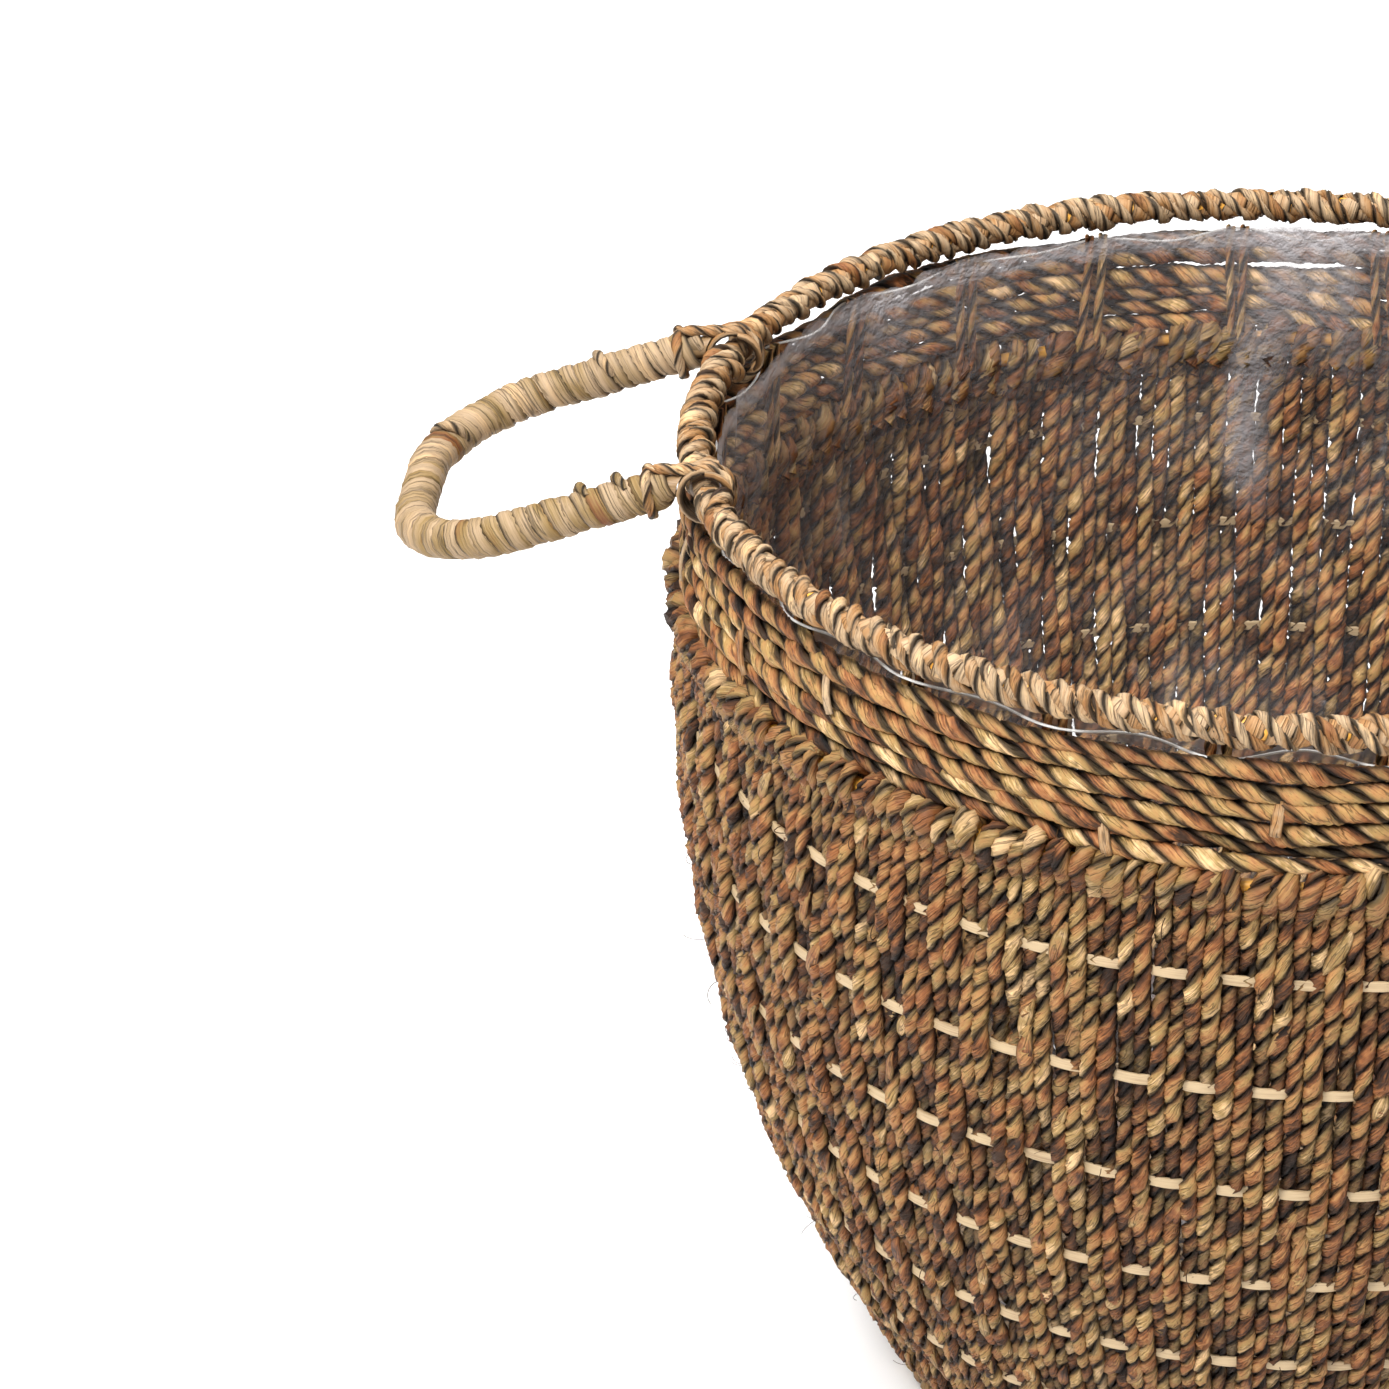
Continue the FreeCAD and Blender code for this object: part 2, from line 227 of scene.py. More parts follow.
class Growth(Graph):
    """A Geometry Nodes tree with named inputs."""

    def __init__(self, name, sizes):
        super().__init__(bpy.data.node_groups.new(name, "GeometryNodeTree"))
        face = self.tree.interface
        face.new_socket("Geometry", in_out="INPUT", socket_type="NodeSocketGeometry")
        for label, value in sizes.items():
            kind = "Int" if isinstance(value, int) else "Float"
            face.new_socket(label, in_out="INPUT", socket_type="NodeSocket" + kind).default_value = value
        face.new_socket("Material", in_out="INPUT", socket_type="NodeSocketMaterial")
        face.new_socket("Geometry", in_out="OUTPUT", socket_type="NodeSocketGeometry")
        self.start = self.tree.nodes.new("NodeGroupInput")

    def size(self, name):
        return Socket(self, self.start.outputs[name])

    def geometry(self, kind, settings, geometry, **inputs):
        """A geometry node whose first socket takes the geometry."""
        named = {name.replace("_", " "): value for name, value in inputs.items()}
        return self.node("GeometryNode" + kind, settings, {0: geometry, **named})

    def draw(self, low, high, kind="FLOAT", **inputs):
        """A random value between two others."""
        return self.node("FunctionNodeRandomValue", {"data_type": kind}, {"Min": low, "Max": high, **inputs})

    def keep(self, geometry, name, value, kind="FLOAT", domain="POINT"):
        return self.geometry("StoreNamedAttribute", {"data_type": kind, "domain": domain},
                             geometry, Name=name, Value=value)

    def read(self, name, kind="FLOAT"):
        return self.node("GeometryNodeInputNamedAttribute", {"data_type": kind}, {"Name": name})

    def finish(self, geometry):
        geometry = self.geometry("SetShadeSmooth", {}, geometry)
        geometry = self.geometry("RealizeInstances", {}, geometry)
        geometry = self.geometry("SetMaterial", {}, geometry, Material=self.size("Material"))
        self.node("NodeGroupOutput", {}, {0: geometry})
        return self.tree


def strand_tree(name, flat=False, normals="MINIMUM_TWIST"):
    """Strands wound round every line of an object: a rope's plies, or the blades of a wrap.

    A line's points carry girth, which scales the strand, and phase, which turns the winding. The mesh
    carries strand, along and ring: a number for each strand, the distance along it, and the place round it.
    """
    tree = Growth(name, {
        "Pitch": 0.012, "Winding": 0.001, "Width": 0.003, "Thickness": 0.002, "Strands": 2, "Step": 0.0015,
        "Sides": 6, "Roll": 0.0, "Wander": 0.0, "Unevenness": 0.15, "Slip": 0.0, "Grain": 150.0, "Seed": 0,
    })
    size = tree.size
    line = tree.geometry("MeshToCurve", {}, size("Geometry"))
    line = tree.geometry("SetCurveNormal", {"mode": normals}, line)
    line = tree.geometry("ResampleCurve", {"mode": "LENGTH"}, line, Length=size("Step"))
    line = tree.geometry("DuplicateElements", {"domain": "SPLINE"}, line, Amount=size("Strands"))
    copy = line.other("Duplicate Index")
    draw = tree.draw(0.0, 1.0, ID=tree.node("GeometryNodeInputIndex"), Seed=size("Seed"))
    line = tree.keep(line, "strand", draw, domain="CURVE")

    place = tree.node("GeometryNodeInputPosition")
    shifted = tree.vector("ADD", place, tree.triple(0.0, 0.0, tree.read("strand") * 7.0 + size("Seed")))
    bumps = tree.noise(shifted, size("Grain"), 1.0) - 0.5
    length = tree.node("GeometryNodeSplineParameter").other("Length")
    turns = ((length + size("Slip") * bumps) / size("Pitch") + (copy + 0.5) / size("Strands")
             + tree.read("phase"))
    angle = turns * TURN
    normal = tree.node("GeometryNodeInputNormal")
    across = tree.vector("CROSS_PRODUCT", tree.node("GeometryNodeInputTangent"), normal)
    outward = tree.vector("ADD", tree.scaled(normal, angle.maths("COSINE", angle)),
                          tree.scaled(across, angle.maths("SINE", angle)))
    line = tree.keep(line, "outward", outward, "FLOAT_VECTOR")
    line = tree.keep(line, "along", length)
    outward = tree.read("outward", "FLOAT_VECTOR")
    reach = size("Winding") * tree.read("girth") + size("Wander") * bumps
    line = tree.geometry("SetPosition", {}, line, Offset=tree.scaled(outward, reach))
    line = tree.geometry("SetCurveNormal", {"mode": "FREE"}, line, Normal=outward)
    line = tree.geometry("SetCurveTilt", {}, line, Tilt=size("Roll"))

    if flat:
        section = tree.node("GeometryNodeCurvePrimitiveQuadrilateral", {}, {"Width": 2.0, "Height": 2.0})
        section = tree.geometry("FilletCurve", {"mode": "POLY"}, section, Count=3, Radius=0.35)
    else:
        section = tree.node("GeometryNodeCurvePrimitiveCircle", {},
                            {"Resolution": size("Sides"), "Radius": 1.0})
    section = tree.keep(section, "ring", tree.node("GeometryNodeInputPosition"), "FLOAT_VECTOR")
    section = tree.geometry("Transform", {}, section,
                            Scale=tree.triple(size("Thickness") / 2, size("Width") / 2, 1.0))
    swell = tree.read("girth") * (1 + size("Unevenness") * 2 * bumps)
    return tree.finish(tree.geometry("CurveToMesh", {}, line, Profile_Curve=section, Scale=swell,
                                     Fill_Caps=True))


def scatter_tree():
    """Loose fibres that stand a little off a surface."""
    tree = Growth("Fibres", {"Density": 2000.0, "Smallest": 0.3, "Largest": 1.3, "Seed": 3})
    seed = tree.size("Seed")
    points = tree.geometry("DistributePointsOnFaces", {}, tree.size("Geometry"),
                           Density=tree.size("Density"), Seed=seed)
    lean = tree.draw((-0.3, -0.3, -math.pi), (0.3, 0.3, math.pi), "FLOAT_VECTOR", Seed=seed)
    turned = tree.node("FunctionNodeRotateRotation", {"rotation_space": "LOCAL"},
                       {0: points.other("Rotation"), 1: lean})
    join = tree.tree.nodes.new("GeometryNodeJoinGeometry")
    for bend, length in ((2.2, 10 * MM), (1.3, 13 * MM), (3.0, 8 * MM)):
        arc = tree.node("GeometryNodeCurveArc", {},
                        {"Resolution": 7, "Radius": length / bend, "Sweep Angle": bend})
        section = tree.node("GeometryNodeCurvePrimitiveCircle", {}, {"Resolution": 3, "Radius": 0.18 * MM})
        hair = tree.geometry("CurveToMesh", {}, arc, Profile_Curve=section, Fill_Caps=True)
        hair = tree.geometry("Transform", {}, hair,
                             Translation=(-length / bend, 0.0, 0.0), Rotation=Euler((1.25, 0.0, 0.0)))
        shape = tree.node("GeometryNodeGeometryToInstance", {}, {0: hair})
        tree.tree.links.new(shape.output, join.inputs[0])
    size = tree.draw(tree.size("Smallest"), tree.size("Largest"), Seed=seed + 1)
    return tree.finish(tree.geometry("InstanceOnPoints", {}, points, Instance=Socket(tree, join.outputs[0]),
                                     Pick_Instance=True, Rotation=turned, Scale=size))


def lines_mesh(name, lines, closed=False):
    """A mesh of bare edges. Each line is a list of (point, girth, phase)."""
    points, edges, girths, phases = [], [], [], []
    for line in lines:
        first = len(points)
        for point, girth, phase in line:
            points.append(point)
            girths.append(girth)
            phases.append(phase)
        edges += [(first + i, first + i + 1) for i in range(len(line) - 1)]
        if closed:
            edges.append((len(points) - 1, first))
    mesh = bpy.data.meshes.new(name)
    mesh.from_pydata(points, edges, [])
    for label, values in (("girth", girths), ("phase", phases)):
        mesh.attributes.new(label, "FLOAT", "POINT").data.foreach_set("value", values)
    return mesh


def grow(name, mesh, tree, material, slot, nodes=(), body="basket", **sizes):
    """Runs a tree on a mesh and keeps the result as a plain piece that rides on a body."""
    piece = bpy.data.objects.new(name, mesh)
    bpy.context.scene.collection.objects.link(piece)
    modifier = piece.modifiers.new("Growth", "NODES")
    modifier.node_group = tree
    keys = {item.name: item.identifier for item in tree.interface.items_tree if item.in_out == "INPUT"}
    for label, value in {**sizes, "Material": material}.items():
        modifier[keys[label]] = value
    graph = bpy.context.evaluated_depsgraph_get()
    plain = bpy.data.meshes.new_from_object(piece.evaluated_get(graph), depsgraph=graph)
    piece.modifiers.clear()
    piece.data = plain
    plain.name = name
    for label in ("outward", "girth", "phase"):
        if label in plain.attributes:
            plain.attributes.remove(plain.attributes[label])
    if not plain.polygons:
        raise RuntimeError(f"{name} grew no faces")
    place_piece(piece, slot, nodes, body)


def wind(name, lines, kind, *where, closed=False, **sizes):
    """Grows strands along lines, in one of the three kinds of strand tree."""
    settings = {"rope": {}, "wrap": {"normals": "Z_UP"}, "strip": {"normals": "Z_UP", "flat": True}}[kind]
    tree = Made.get(kind + " tree", lambda: strand_tree(kind.title(), **settings))
    grow(name, lines_mesh(name, lines, closed), tree, *where, **sizes)


def place_piece(piece, slot, nodes=(), body="basket"):
    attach(piece, body)
    if nodes:
        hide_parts(*nodes)


def mesh_piece(name, points, faces, material):
    """A smooth object from points and faces."""
    mesh = bpy.data.meshes.new(name)
    mesh.from_pydata(points, [], faces)
    mesh.shade_smooth()
    mesh.materials.append(material)
    piece = bpy.data.objects.new(name, mesh)
    bpy.context.scene.collection.objects.link(piece)
    return piece


def sheet_piece(name, rows, material):
    """A piece from rows of points round the basket. A first row as small as a coin is filled in."""
    rows = np.asarray(rows)
    count, around = rows.shape[:2]
    faces = [(i * around + j, i * around + (j + 1) % around, (i + 1) * around + (j + 1) % around,
              (i + 1) * around + j) for i in range(count - 1) for j in range(around)]
    points = rows.reshape(-1, 3).tolist()
    if np.ptp(rows[0], axis=0).max() < 10 * MM:
        faces += [(len(points), (j + 1) % around, j) for j in range(around)]
        points.append(rows[0].mean(axis=0).tolist())
    return mesh_piece(name, points, faces, material)


def flat_blades(name, blades, material, slot):
    """Flat blades of grass as one piece. Each is a list of (point, the azimuth it faces, half its width)."""
    section = ((-1, -0.4), (1, -0.4), (0.7, 0.25), (0, 0.45), (-0.7, 0.25))
    sides = len(section)
    points, faces, strands, alongs, rings = [], [], [], [], []
    for number, blade in enumerate(blades):
        first, along = len(points), 0.0
        for index, (point, azimuth, half) in enumerate(blade):
            ahead = Vector(blade[min(index + 1, len(blade) - 1)][0]) - Vector(blade[max(index - 1, 0)][0])
            side = ahead.cross(Vector((math.cos(azimuth), math.sin(azimuth), 0.0))).normalized()
            rise = side.cross(ahead).normalized()
            for across, up in section:
                points.append(Vector(point) + side * half * across + rise * up * 0.8 * MM)
                strands.append((number * 0.618) % 1.0)
                alongs.append(along + number)
                # The ring places each point for the grass material's painted shade: darker underneath and at
                # the edges.
                rings.append((0.6 + up, across * 0.8, 0.0))
            along += ahead.length / 2
            if index:
                last = first + (index - 1) * sides
                faces += [(last + k, last + (k + 1) % sides, last + sides + (k + 1) % sides, last + sides + k)
                          for k in range(sides)]
        faces.append(tuple(range(first + sides - 1, first - 1, -1)))
        faces.append(tuple(range(len(points) - sides, len(points))))
    piece = mesh_piece(name, points, faces, material)
    for label, values in (("strand", strands), ("along", alongs)):
        piece.data.attributes.new(label, "FLOAT", "POINT").data.foreach_set("value", values)
    piece.data.attributes.new("ring", "FLOAT_VECTOR", "POINT").data.foreach_set("vector", np.ravel(rings))
    place_piece(piece, slot)


# ---------------------------------------------------------------- materials

def new_material(name):
    material = bpy.data.materials.new(name)
    material.use_nodes = True
    material.node_tree.nodes.clear()
    return material, Graph(material.node_tree)


def surface(graph, colour, roughness, height=None, depth=0.0002, **constants):
    """Ends a material in one shader, with a bump where it has a height."""
    inputs = {"Base Color": colour, "Roughness": roughness, **constants}
    if height is not None:
        inputs["Normal"] = graph.node("ShaderNodeBump", {},
                                      {"Strength": 1.0, "Distance": depth, "Height": height})
    shader = graph.node("ShaderNodeBsdfPrincipled", {}, inputs)
    graph.node("ShaderNodeOutputMaterial", {}, {"Surface": shader})


def mix_colours(graph, factor, first, second, blend="MIX"):
    return graph.node("ShaderNodeMix", {"data_type": "RGBA", "blend_type": blend},
                      {"Factor": factor, "A": first, "B": second})


def attribute(graph, name, output="Fac"):
    return graph.node("ShaderNodeAttribute", {"attribute_name": name}).other(output)


def object_place(graph):
    return graph.node("ShaderNodeTexCoord").other("Object")


def out_of_wall(graph):
    """How far out a point of the wall or the neck is from the middle of its ropes, in millimetres."""
    place = graph.node("ShaderNodeSeparateXYZ", {}, {0: object_place(graph)})
    x, y, z = place, place.other("Y"), place.other("Z")
    radius = (x * x + y * y) ** 0.5
    rise = z - float(ARC_CENTRE[1])
    out = radius - float(ARC_CENTRE[0])
    wall = (out * out + rise * rise) ** 0.5 - ARC_MIDDLE
    neck = radius - hoop(NECK_ROPES[0])[0]
    above = z > SHOULDER_Z + SHOULDER_CORE
    return (wall + (neck - wall) * above) * 1000.0


def seagrass(name, stops, light, woven):
    """Dried seagrass blade: strands of different browns, streaks and folds along it, with painted shade in
    its crevices and along its folds.

    Woven grass gets painted shade between its ropes and painted light on the basket's inside.
    """
    material, graph = new_material(name)
    strand, along = attribute(graph, "strand"), attribute(graph, "along")
    depth = graph.node("ShaderNodeSeparateXYZ", {}, {0: attribute(graph, "ring", "Vector")})
    side = depth.other("Y")
    lane = strand * 91.0
    patch = graph.noise(graph.triple(depth * 0.3, side * 0.3, along * 110.0 + lane), 1.0, 3.0, 0.6)
    streak = graph.noise(graph.triple(depth * 4.0, side * 4.0, along * 70.0 + lane), 1.3, 3.0, 0.65)
    fold = graph.noise(graph.triple(depth * 1.1, side * 1.1, along * 75.0 - lane), 1.0, 2.0, 0.5)
    drift = graph.noise(graph.triple(lane, 0.0, along * 16.0), 1.0, 2.0)
    tone = patch * 1.15 + (drift - 0.5) * 0.7 + (strand - 0.5) * 0.30 + (streak - 0.5) * 0.35 - 0.075
    colour = graph.node("ShaderNodeValToRGB", {"stops": stops}, {0: tone})
    # Painted shade: thin dark lines along the blade's folds, where shade would fall. The same mask also
    # raises the bump.
    crease = abs(fold - 0.5).between(0.0, 0.025) * 0.6 + 0.4
    # Painted shade: each strand is darker on its inner side, between its plies, and at its edges where it
    # presses against its neighbours.
    crevice_shade = ((depth + 0.15).between(-0.2, 0.8) * 0.85 + 0.15) * (1 - (abs(side) ** 6.0) * 0.75)
    shade = crease * crevice_shade * (streak * 0.7 + 0.7) * light
    if woven:
        # Painted shade deep in the weave, darkest at the middle of the wall between the ropes, and painted
        # light that makes the faces on the basket's inside up to 1.4 times paler.
        out = out_of_wall(graph)
        shade = shade * (abs(out).between(0.3, 2.6) * 0.8 + 0.2) * ((0.0 - out).between(0.0, 1.5) * 0.4 + 1.0)
    colour = mix_colours(graph, 1.0, colour, graph.triple(shade, shade, shade), "MULTIPLY")
    specks = graph.noise(graph.triple(depth * 6.0, side * 6.0, along * 700.0 + lane), 1.1, 2.0)
    colour = mix_colours(graph, specks.between(0.62, 0.70) * 0.5, colour, (0.045, 0.02, 0.008, 1.0))
    height = streak * 0.7 + crease * 0.8 + patch * 0.5
    surface(graph, colour, streak * 0.3 + 0.42, height, 0.0005, **{"Specular IOR Level": 0.28})
    return material


def cane(name, pale, dark):
    """Split or peeled cane, with grain along its length. It reads Object coordinates, round the basket."""
    material, graph = new_material(name)
    place = object_place(graph)
    grain = graph.noise(graph.vector("MULTIPLY", place, (60.0, 60.0, 2600.0)), 1.0, 4.0, 0.6)
    blotch = graph.noise(place, 70.0, 3.0)
    tone = (grain * 0.7 + blotch * 0.45 - 0.1).between(0.2, 0.85)
    colour = graph.node("ShaderNodeValToRGB", {"stops": [(0.0, dark), (0.45, pale), (1.0, pale)]}, {0: tone})
    surface(graph, colour, grain * 0.2 + 0.35, grain, 0.0001, **{"Specular IOR Level": 0.45})
    return material


def clear_film():
    """Thin clear film: nearly invisible flat on, milky along its creases and its sewn edge, with a painted
    reflection as haze high on its left side.
    """
    material, graph = new_material("clear film")
    place = object_place(graph)
    crease = attribute(graph, "crease")
    cloud = graph.noise(place, 22.0, 4.0, 0.6)
    scuff = graph.noise(graph.vector("MULTIPLY", place, (1.0, 1.0, 0.35)), 160.0, 3.0, 0.7)
    # The crease mark holds the film's milkiness at its creases, gathers and hem, and also a painted
    # reflection: haze where the film would catch glare at a glancing angle.
    alpha = cloud.between(0.42, 0.72) * 0.12 + crease * 0.72 + scuff.between(0.60, 0.74) * 0.13 + 0.03
    crumple = graph.noise(place, 320.0, 3.0, 0.6)
    surface(graph, (0.56, 0.535, 0.55, 1.0), scuff * 0.25 + 0.2, cloud + crumple * 0.5, 0.003,
            Alpha=alpha, IOR=1.5, **{"Specular IOR Level": 0.35})
    return material


def clear_thread():
    material, graph = new_material("clear thread")
    cloud = graph.noise(object_place(graph), 900.0, 2.0)
    surface(graph, (0.86, 0.85, 0.82, 1.0), cloud * 0.2 + 0.15, Alpha=0.75)
    return material


def plain_floor():
    material, graph = new_material("pale floor")
    soft = graph.noise(object_place(graph), 3.0, 3.0) * 0.02 + 0.9
    surface(graph, graph.triple(soft, soft, soft), soft * 0.6)
    return material


def sRGB(red, green, blue):
    """A colour as it is read off a screen, from 0 to 255, as linear light."""
    shares = (red / 255, green / 255, blue / 255)
    return tuple(share / 12.92 if share < 0.04 else ((share + 0.055) / 1.055) ** 2.4 for share in shares)


class Made:
    """Materials and trees, each made once and shared."""
    kept = {}

    @classmethod
    def get(cls, key, maker):
        if key not in cls.kept:
            cls.kept[key] = maker()
        return cls.kept[key]


def grass(kind):
    """One of the five dried grass materials."""
    tones = bpy.context.scene.basket_colours
    deep, brown, tan, pale, olive, handle = (tuple(getattr(tones, key)) for key in tones.__annotations__)
    light, stops = {
        "wall": (0.93, [(0.22, deep), (0.38, brown), (0.52, tan), (0.66, olive), (0.82, pale)]),
        "loop": (0.74, [(0.22, deep), (0.38, brown), (0.52, tan), (0.66, olive), (0.82, pale)]),
        "neck": (1.0, [(0.22, deep), (0.36, brown), (0.50, tan), (0.66, olive), (0.80, pale)]),
        "wrap": (0.78, [(0.12, brown), (0.36, tan), (0.62, handle), (0.80, pale), (0.92, tan)]),
        "handle": (0.62, [(0.12, brown), (0.30, olive), (0.52, handle), (0.85, pale)]),
    }[kind]
    return Made.get("grass " + kind,
                    lambda: seagrass("seagrass " + kind, stops, light, woven=kind in ("wall", "neck")))


# ---------------------------------------------------------------- sizes and colours

def length_property(label, text, millimetres):
    return FloatProperty(name=label, description=text, default=millimetres * MM, unit="LENGTH")


class BasketSizes(bpy.types.PropertyGroup):
    """Sizes that the frame leaves open."""
    pairs: IntProperty(name="Rope pairs", description="Pairs of upright ropes round the wall", default=120,
                       min=12)
    rope_pitch: length_property("Rope pitch", "Length of one full twist of a wall rope", 15.5)
    rope_width: length_property("Ply width", "Width of one ply of a wall rope", 4.6)
    weave: length_property("Weave depth", "How far a rope passes in front of the wall's middle", 1.5)
    neck_pitch: length_property("Neck pitch", "Length of one full twist of a neck rope", 21)
    rim_pitch: length_property("Rim pitch", "Distance between beads of the rim's wrap", 7.0)
    handle_pitch: length_property("Handle pitch", "Distance between turns of a handle's wrap", 4.3)
    handle_bend: length_property("Handle bend", "Radius of a handle's two corners", 34)
    handle_lift: length_property("Handle lift", "How far the legs stand above the hinge line", 4.5)
    handle_droop: FloatProperty(name="Handle droop", description="How far a handle hangs below level",
                                default=math.radians(20), subtype="ANGLE")


def colour_property(label, text, red, green, blue):
    return FloatVectorProperty(name=label, description=text, subtype="COLOR", size=3,
                               default=sRGB(red, green, blue), min=0.0, max=1.0)


class BasketColours(bpy.types.PropertyGroup):
    """Tones of the dried grass."""
    deep: colour_property("Deep brown", "The darkest blades", 58, 36, 20)
    brown: colour_property("Red brown", "Blades with a red cast", 142, 87, 48)
    tan: colour_property("Tan", "The commonest tone", 172, 126, 77)
    pale: colour_property("Pale straw", "The palest blades", 228, 188, 138)
    olive: colour_property("Olive straw", "Blades with a green cast", 160, 130, 78)
    handle: colour_property("Handle straw", "The dry grey straw of the handles", 192, 164, 130)


# ---------------------------------------------------------------- pieces

class BasketOperator:
    """What the basket's operators share."""
    bl_options = {"REGISTER", "UNDO"}

    def execute(self, context):
        self.build(context.scene.basket_sizes)
        return {"FINISHED"}


def upright_rope(azimuth, front, seed, sizes):
    """The line of one wall rope, from the base hoop up to the shoulder, in front of and behind strips."""
    draw = np.random.default_rng(seed)
    sway, swell = Drift(seed + 1, (1, 2, 3)), Drift(seed + 2, (2, 3, 5))
    low, high = slope_at(BASE_Z * 1.4), slope_at(SHOULDER_Z - SHOULDER_CORE)
    step = (STRIP_SLOPES[0] - STRIP_SLOPES[-1]) / (len(STRIP_SLOPES) - 1)
    phase = draw.uniform()
    line = []
    for share in np.linspace(0, 1, 64):
        slope = low + (high - low) * share
        row = (STRIP_SLOPES[0] - slope) / step
        offset = sizes.weave * front * math.cos(math.pi * row) * min(1.0, (1 - share) * 9, share * 12)
        offset += 0.3 * MM * swell(share * 4)
        radius = ARC_CENTRE[0] + ARC_MIDDLE * math.cos(slope)
        turn = azimuth + 0.24 * MM * sway(share * 5) / radius
        girth = (radius / RIM_R) ** 0.55
        line.append((wall_point(slope, offset, turn), girth, phase + 0.12 * swell(share * 3)))
    return line


class BASKET_OT_wall(BasketOperator, bpy.types.Operator):
    """Builds the pairs of upright ropes of the wall"""
    bl_idname = "basket.wall"
    bl_label = "Wall Ropes"

    def build(self, sizes):
        groups = 10  # pieces that the wall's ropes are shared out over
        spread = TURN / sizes.pairs
        for group in range(groups):
            lines = []
            for pair in range(group * sizes.pairs // groups, (group + 1) * sizes.pairs // groups):
                front = 1 if pair % 2 else -1
                for side in (-1, 1):
                    azimuth = spread * (pair + 0.5 + side * 0.247)
                    lines.append(upright_rope(azimuth, front, 1000 + pair * 2 + (side > 0), sizes))
            wind(f"wall_ropes_{group + 1}", lines, "rope", grass("wall"), "wall_seagrass", ["woven_wall"],
                 Pitch=sizes.rope_pitch, Winding=1.35 * MM, Width=sizes.rope_width, Thickness=2.8 * MM,
                 Strands=2, Step=sizes.rope_pitch / 10, Sides=6, Unevenness=0.52, Wander=1.1 * MM,
                 Slip=4.5 * MM, Grain=170.0, Seed=group)


class BASKET_OT_leaves(BasketOperator, bpy.types.Operator):
    """Builds the broad blades that stand out of the wall's ropes"""
    bl_idname = "basket.leaves"
    bl_label = "Broad Blades"

    def build(self, sizes):
        blades, count = [], 520
        for index in range(count):
            draw = np.random.default_rng(5000 + index)
            slope = draw.uniform(slope_at(BASE_Z * 3), slope_at(SHOULDER_Z - 9 * MM))
            pair, length = draw.integers(sizes.pairs), draw.uniform(8, 14) * MM
            azimuth = TURN / sizes.pairs * (pair + 0.5 + draw.choice([-0.244, 0.244]))
            row = (STRIP_SLOPES[0] - slope) / (STRIP_SLOPES[0] - STRIP_SLOPES[1])
            out = 1.9 * MM + sizes.weave * (1 if pair % 2 else -1) * math.cos(math.pi * row)
            slant, half = draw.uniform(0.15, 0.55), draw.uniform(1.5, 2.5) * MM
            curl = draw.uniform(0.0, 0.9) * MM
            blade = []
            for share in np.linspace(0, 1, 7):
                along = (share - 0.5) * length
                point_slope = slope + along / ARC_MIDDLE
                radius = ARC_CENTRE[0] + ARC_MIDDLE * math.cos(point_slope)
                turn = azimuth + slant * along / radius
                lift = out + curl * share**2 - 1.4 * MM * (2 * share - 1) ** 4
                width = half * math.sin(math.pi * (0.06 + 0.88 * share)) ** 0.8
                blade.append((wall_point(point_slope, lift, turn), turn, width))
            blades.append(blade)
        flat_blades("wall_leaves", blades, grass("loop"), "wall_seagrass")


class BASKET_OT_strips(BasketOperator, bpy.types.Operator):
    """Builds the split cane strips that the ropes are woven over"""
    bl_idname = "basket.strips"
    bl_label = "Cane Strips"

    def build(self, sizes):
        material = Made.get("cane strip", lambda: cane("split cane", sRGB(184, 160, 124), sRGB(134, 106, 72)))
        for row, (name, slope) in enumerate(zip(STRIPS, STRIP_SLOPES)):
            low, high = BOXES[name]
            ripple = Drift(70 + row)
            line = []
            for index in range(sizes.pairs * 4):
                azimuth = TURN * index / (sizes.pairs * 4)
                pair = azimuth / TURN * sizes.pairs - 0.5
                wave = -math.cos(math.pi * pair) * (1 if row % 2 else -1)
                point = wall_point(slope + 0.0004 * ripple(azimuth), 0.45 * MM * wave + 0.5 * MM, azimuth)
                line.append((point, 1.0, 0.0))
            wind(name + "_cane", [line], "strip", material, "cane_strip", [name], closed=True,
                 Pitch=UNTWISTED, Winding=0.0, Width=high[2] - low[2], Thickness=1.1 * MM, Strands=1,
                 Step=2.2 * MM, Unevenness=0.05, Seed=row)


class BASKET_OT_shoulder(BasketOperator, bpy.types.Operator):
    """Builds the rope loops over the shoulder hoop"""
    bl_idname = "basket.shoulder"
    bl_label = "Shoulder Loops"

    def build(self, sizes):
        winding = SHOULDER_CORE + 1.9 * MM
        apart = 0.488  # between the two ropes of a pair, as a share of the space for each pair
        lines = []
        for index in range(sizes.pairs * 2):
            draw = np.random.default_rng(300 + index)
            azimuth = TURN / sizes.pairs * (index // 2 + 0.5 + (index % 2 - 0.5) * apart)
            lean = draw.uniform(-4.0, 13.0) * MM / SHOULDER_R
            swell = draw.uniform(0.9, 1.5)
            puff = draw.uniform(-0.4, 2.1) * MM
            phase = draw.uniform()
            line = []
            for share in np.linspace(0, 1, 28):
                around = -1.1 + share * 5.0  # the angle round the hoop, from before it to past it
                inside, outside = max(0.0, around - 3.2), max(0.0, -around)
                held = max(0.0, min(around, math.pi))
                reach = winding + puff * math.sin(held)
                radius = SHOULDER_R + reach * math.cos(held) - outside * 4.6 * MM
                height = SHOULDER_Z + reach * math.sin(held) - outside * 11 * MM - inside * 9 * MM
                turn = azimuth + lean * max(0.0, share - 0.12)
                line.append((round_point(radius, turn, height), swell * min(1.0, 0.6 + share * 2), phase))
            lines.append(line)
        for half in range(2):
            wind(f"shoulder_loops_{half + 1}", lines[half::2], "rope", grass("loop"), "wall_seagrass",
                 ["shoulder_wrap"], Pitch=15 * MM, Winding=1.2 * MM, Width=4.2 * MM, Thickness=2.4 * MM,
                 Strands=2, Step=1.3 * MM, Sides=6, Unevenness=0.6, Wander=0.8 * MM, Slip=3 * MM,
                 Seed=half + 40)


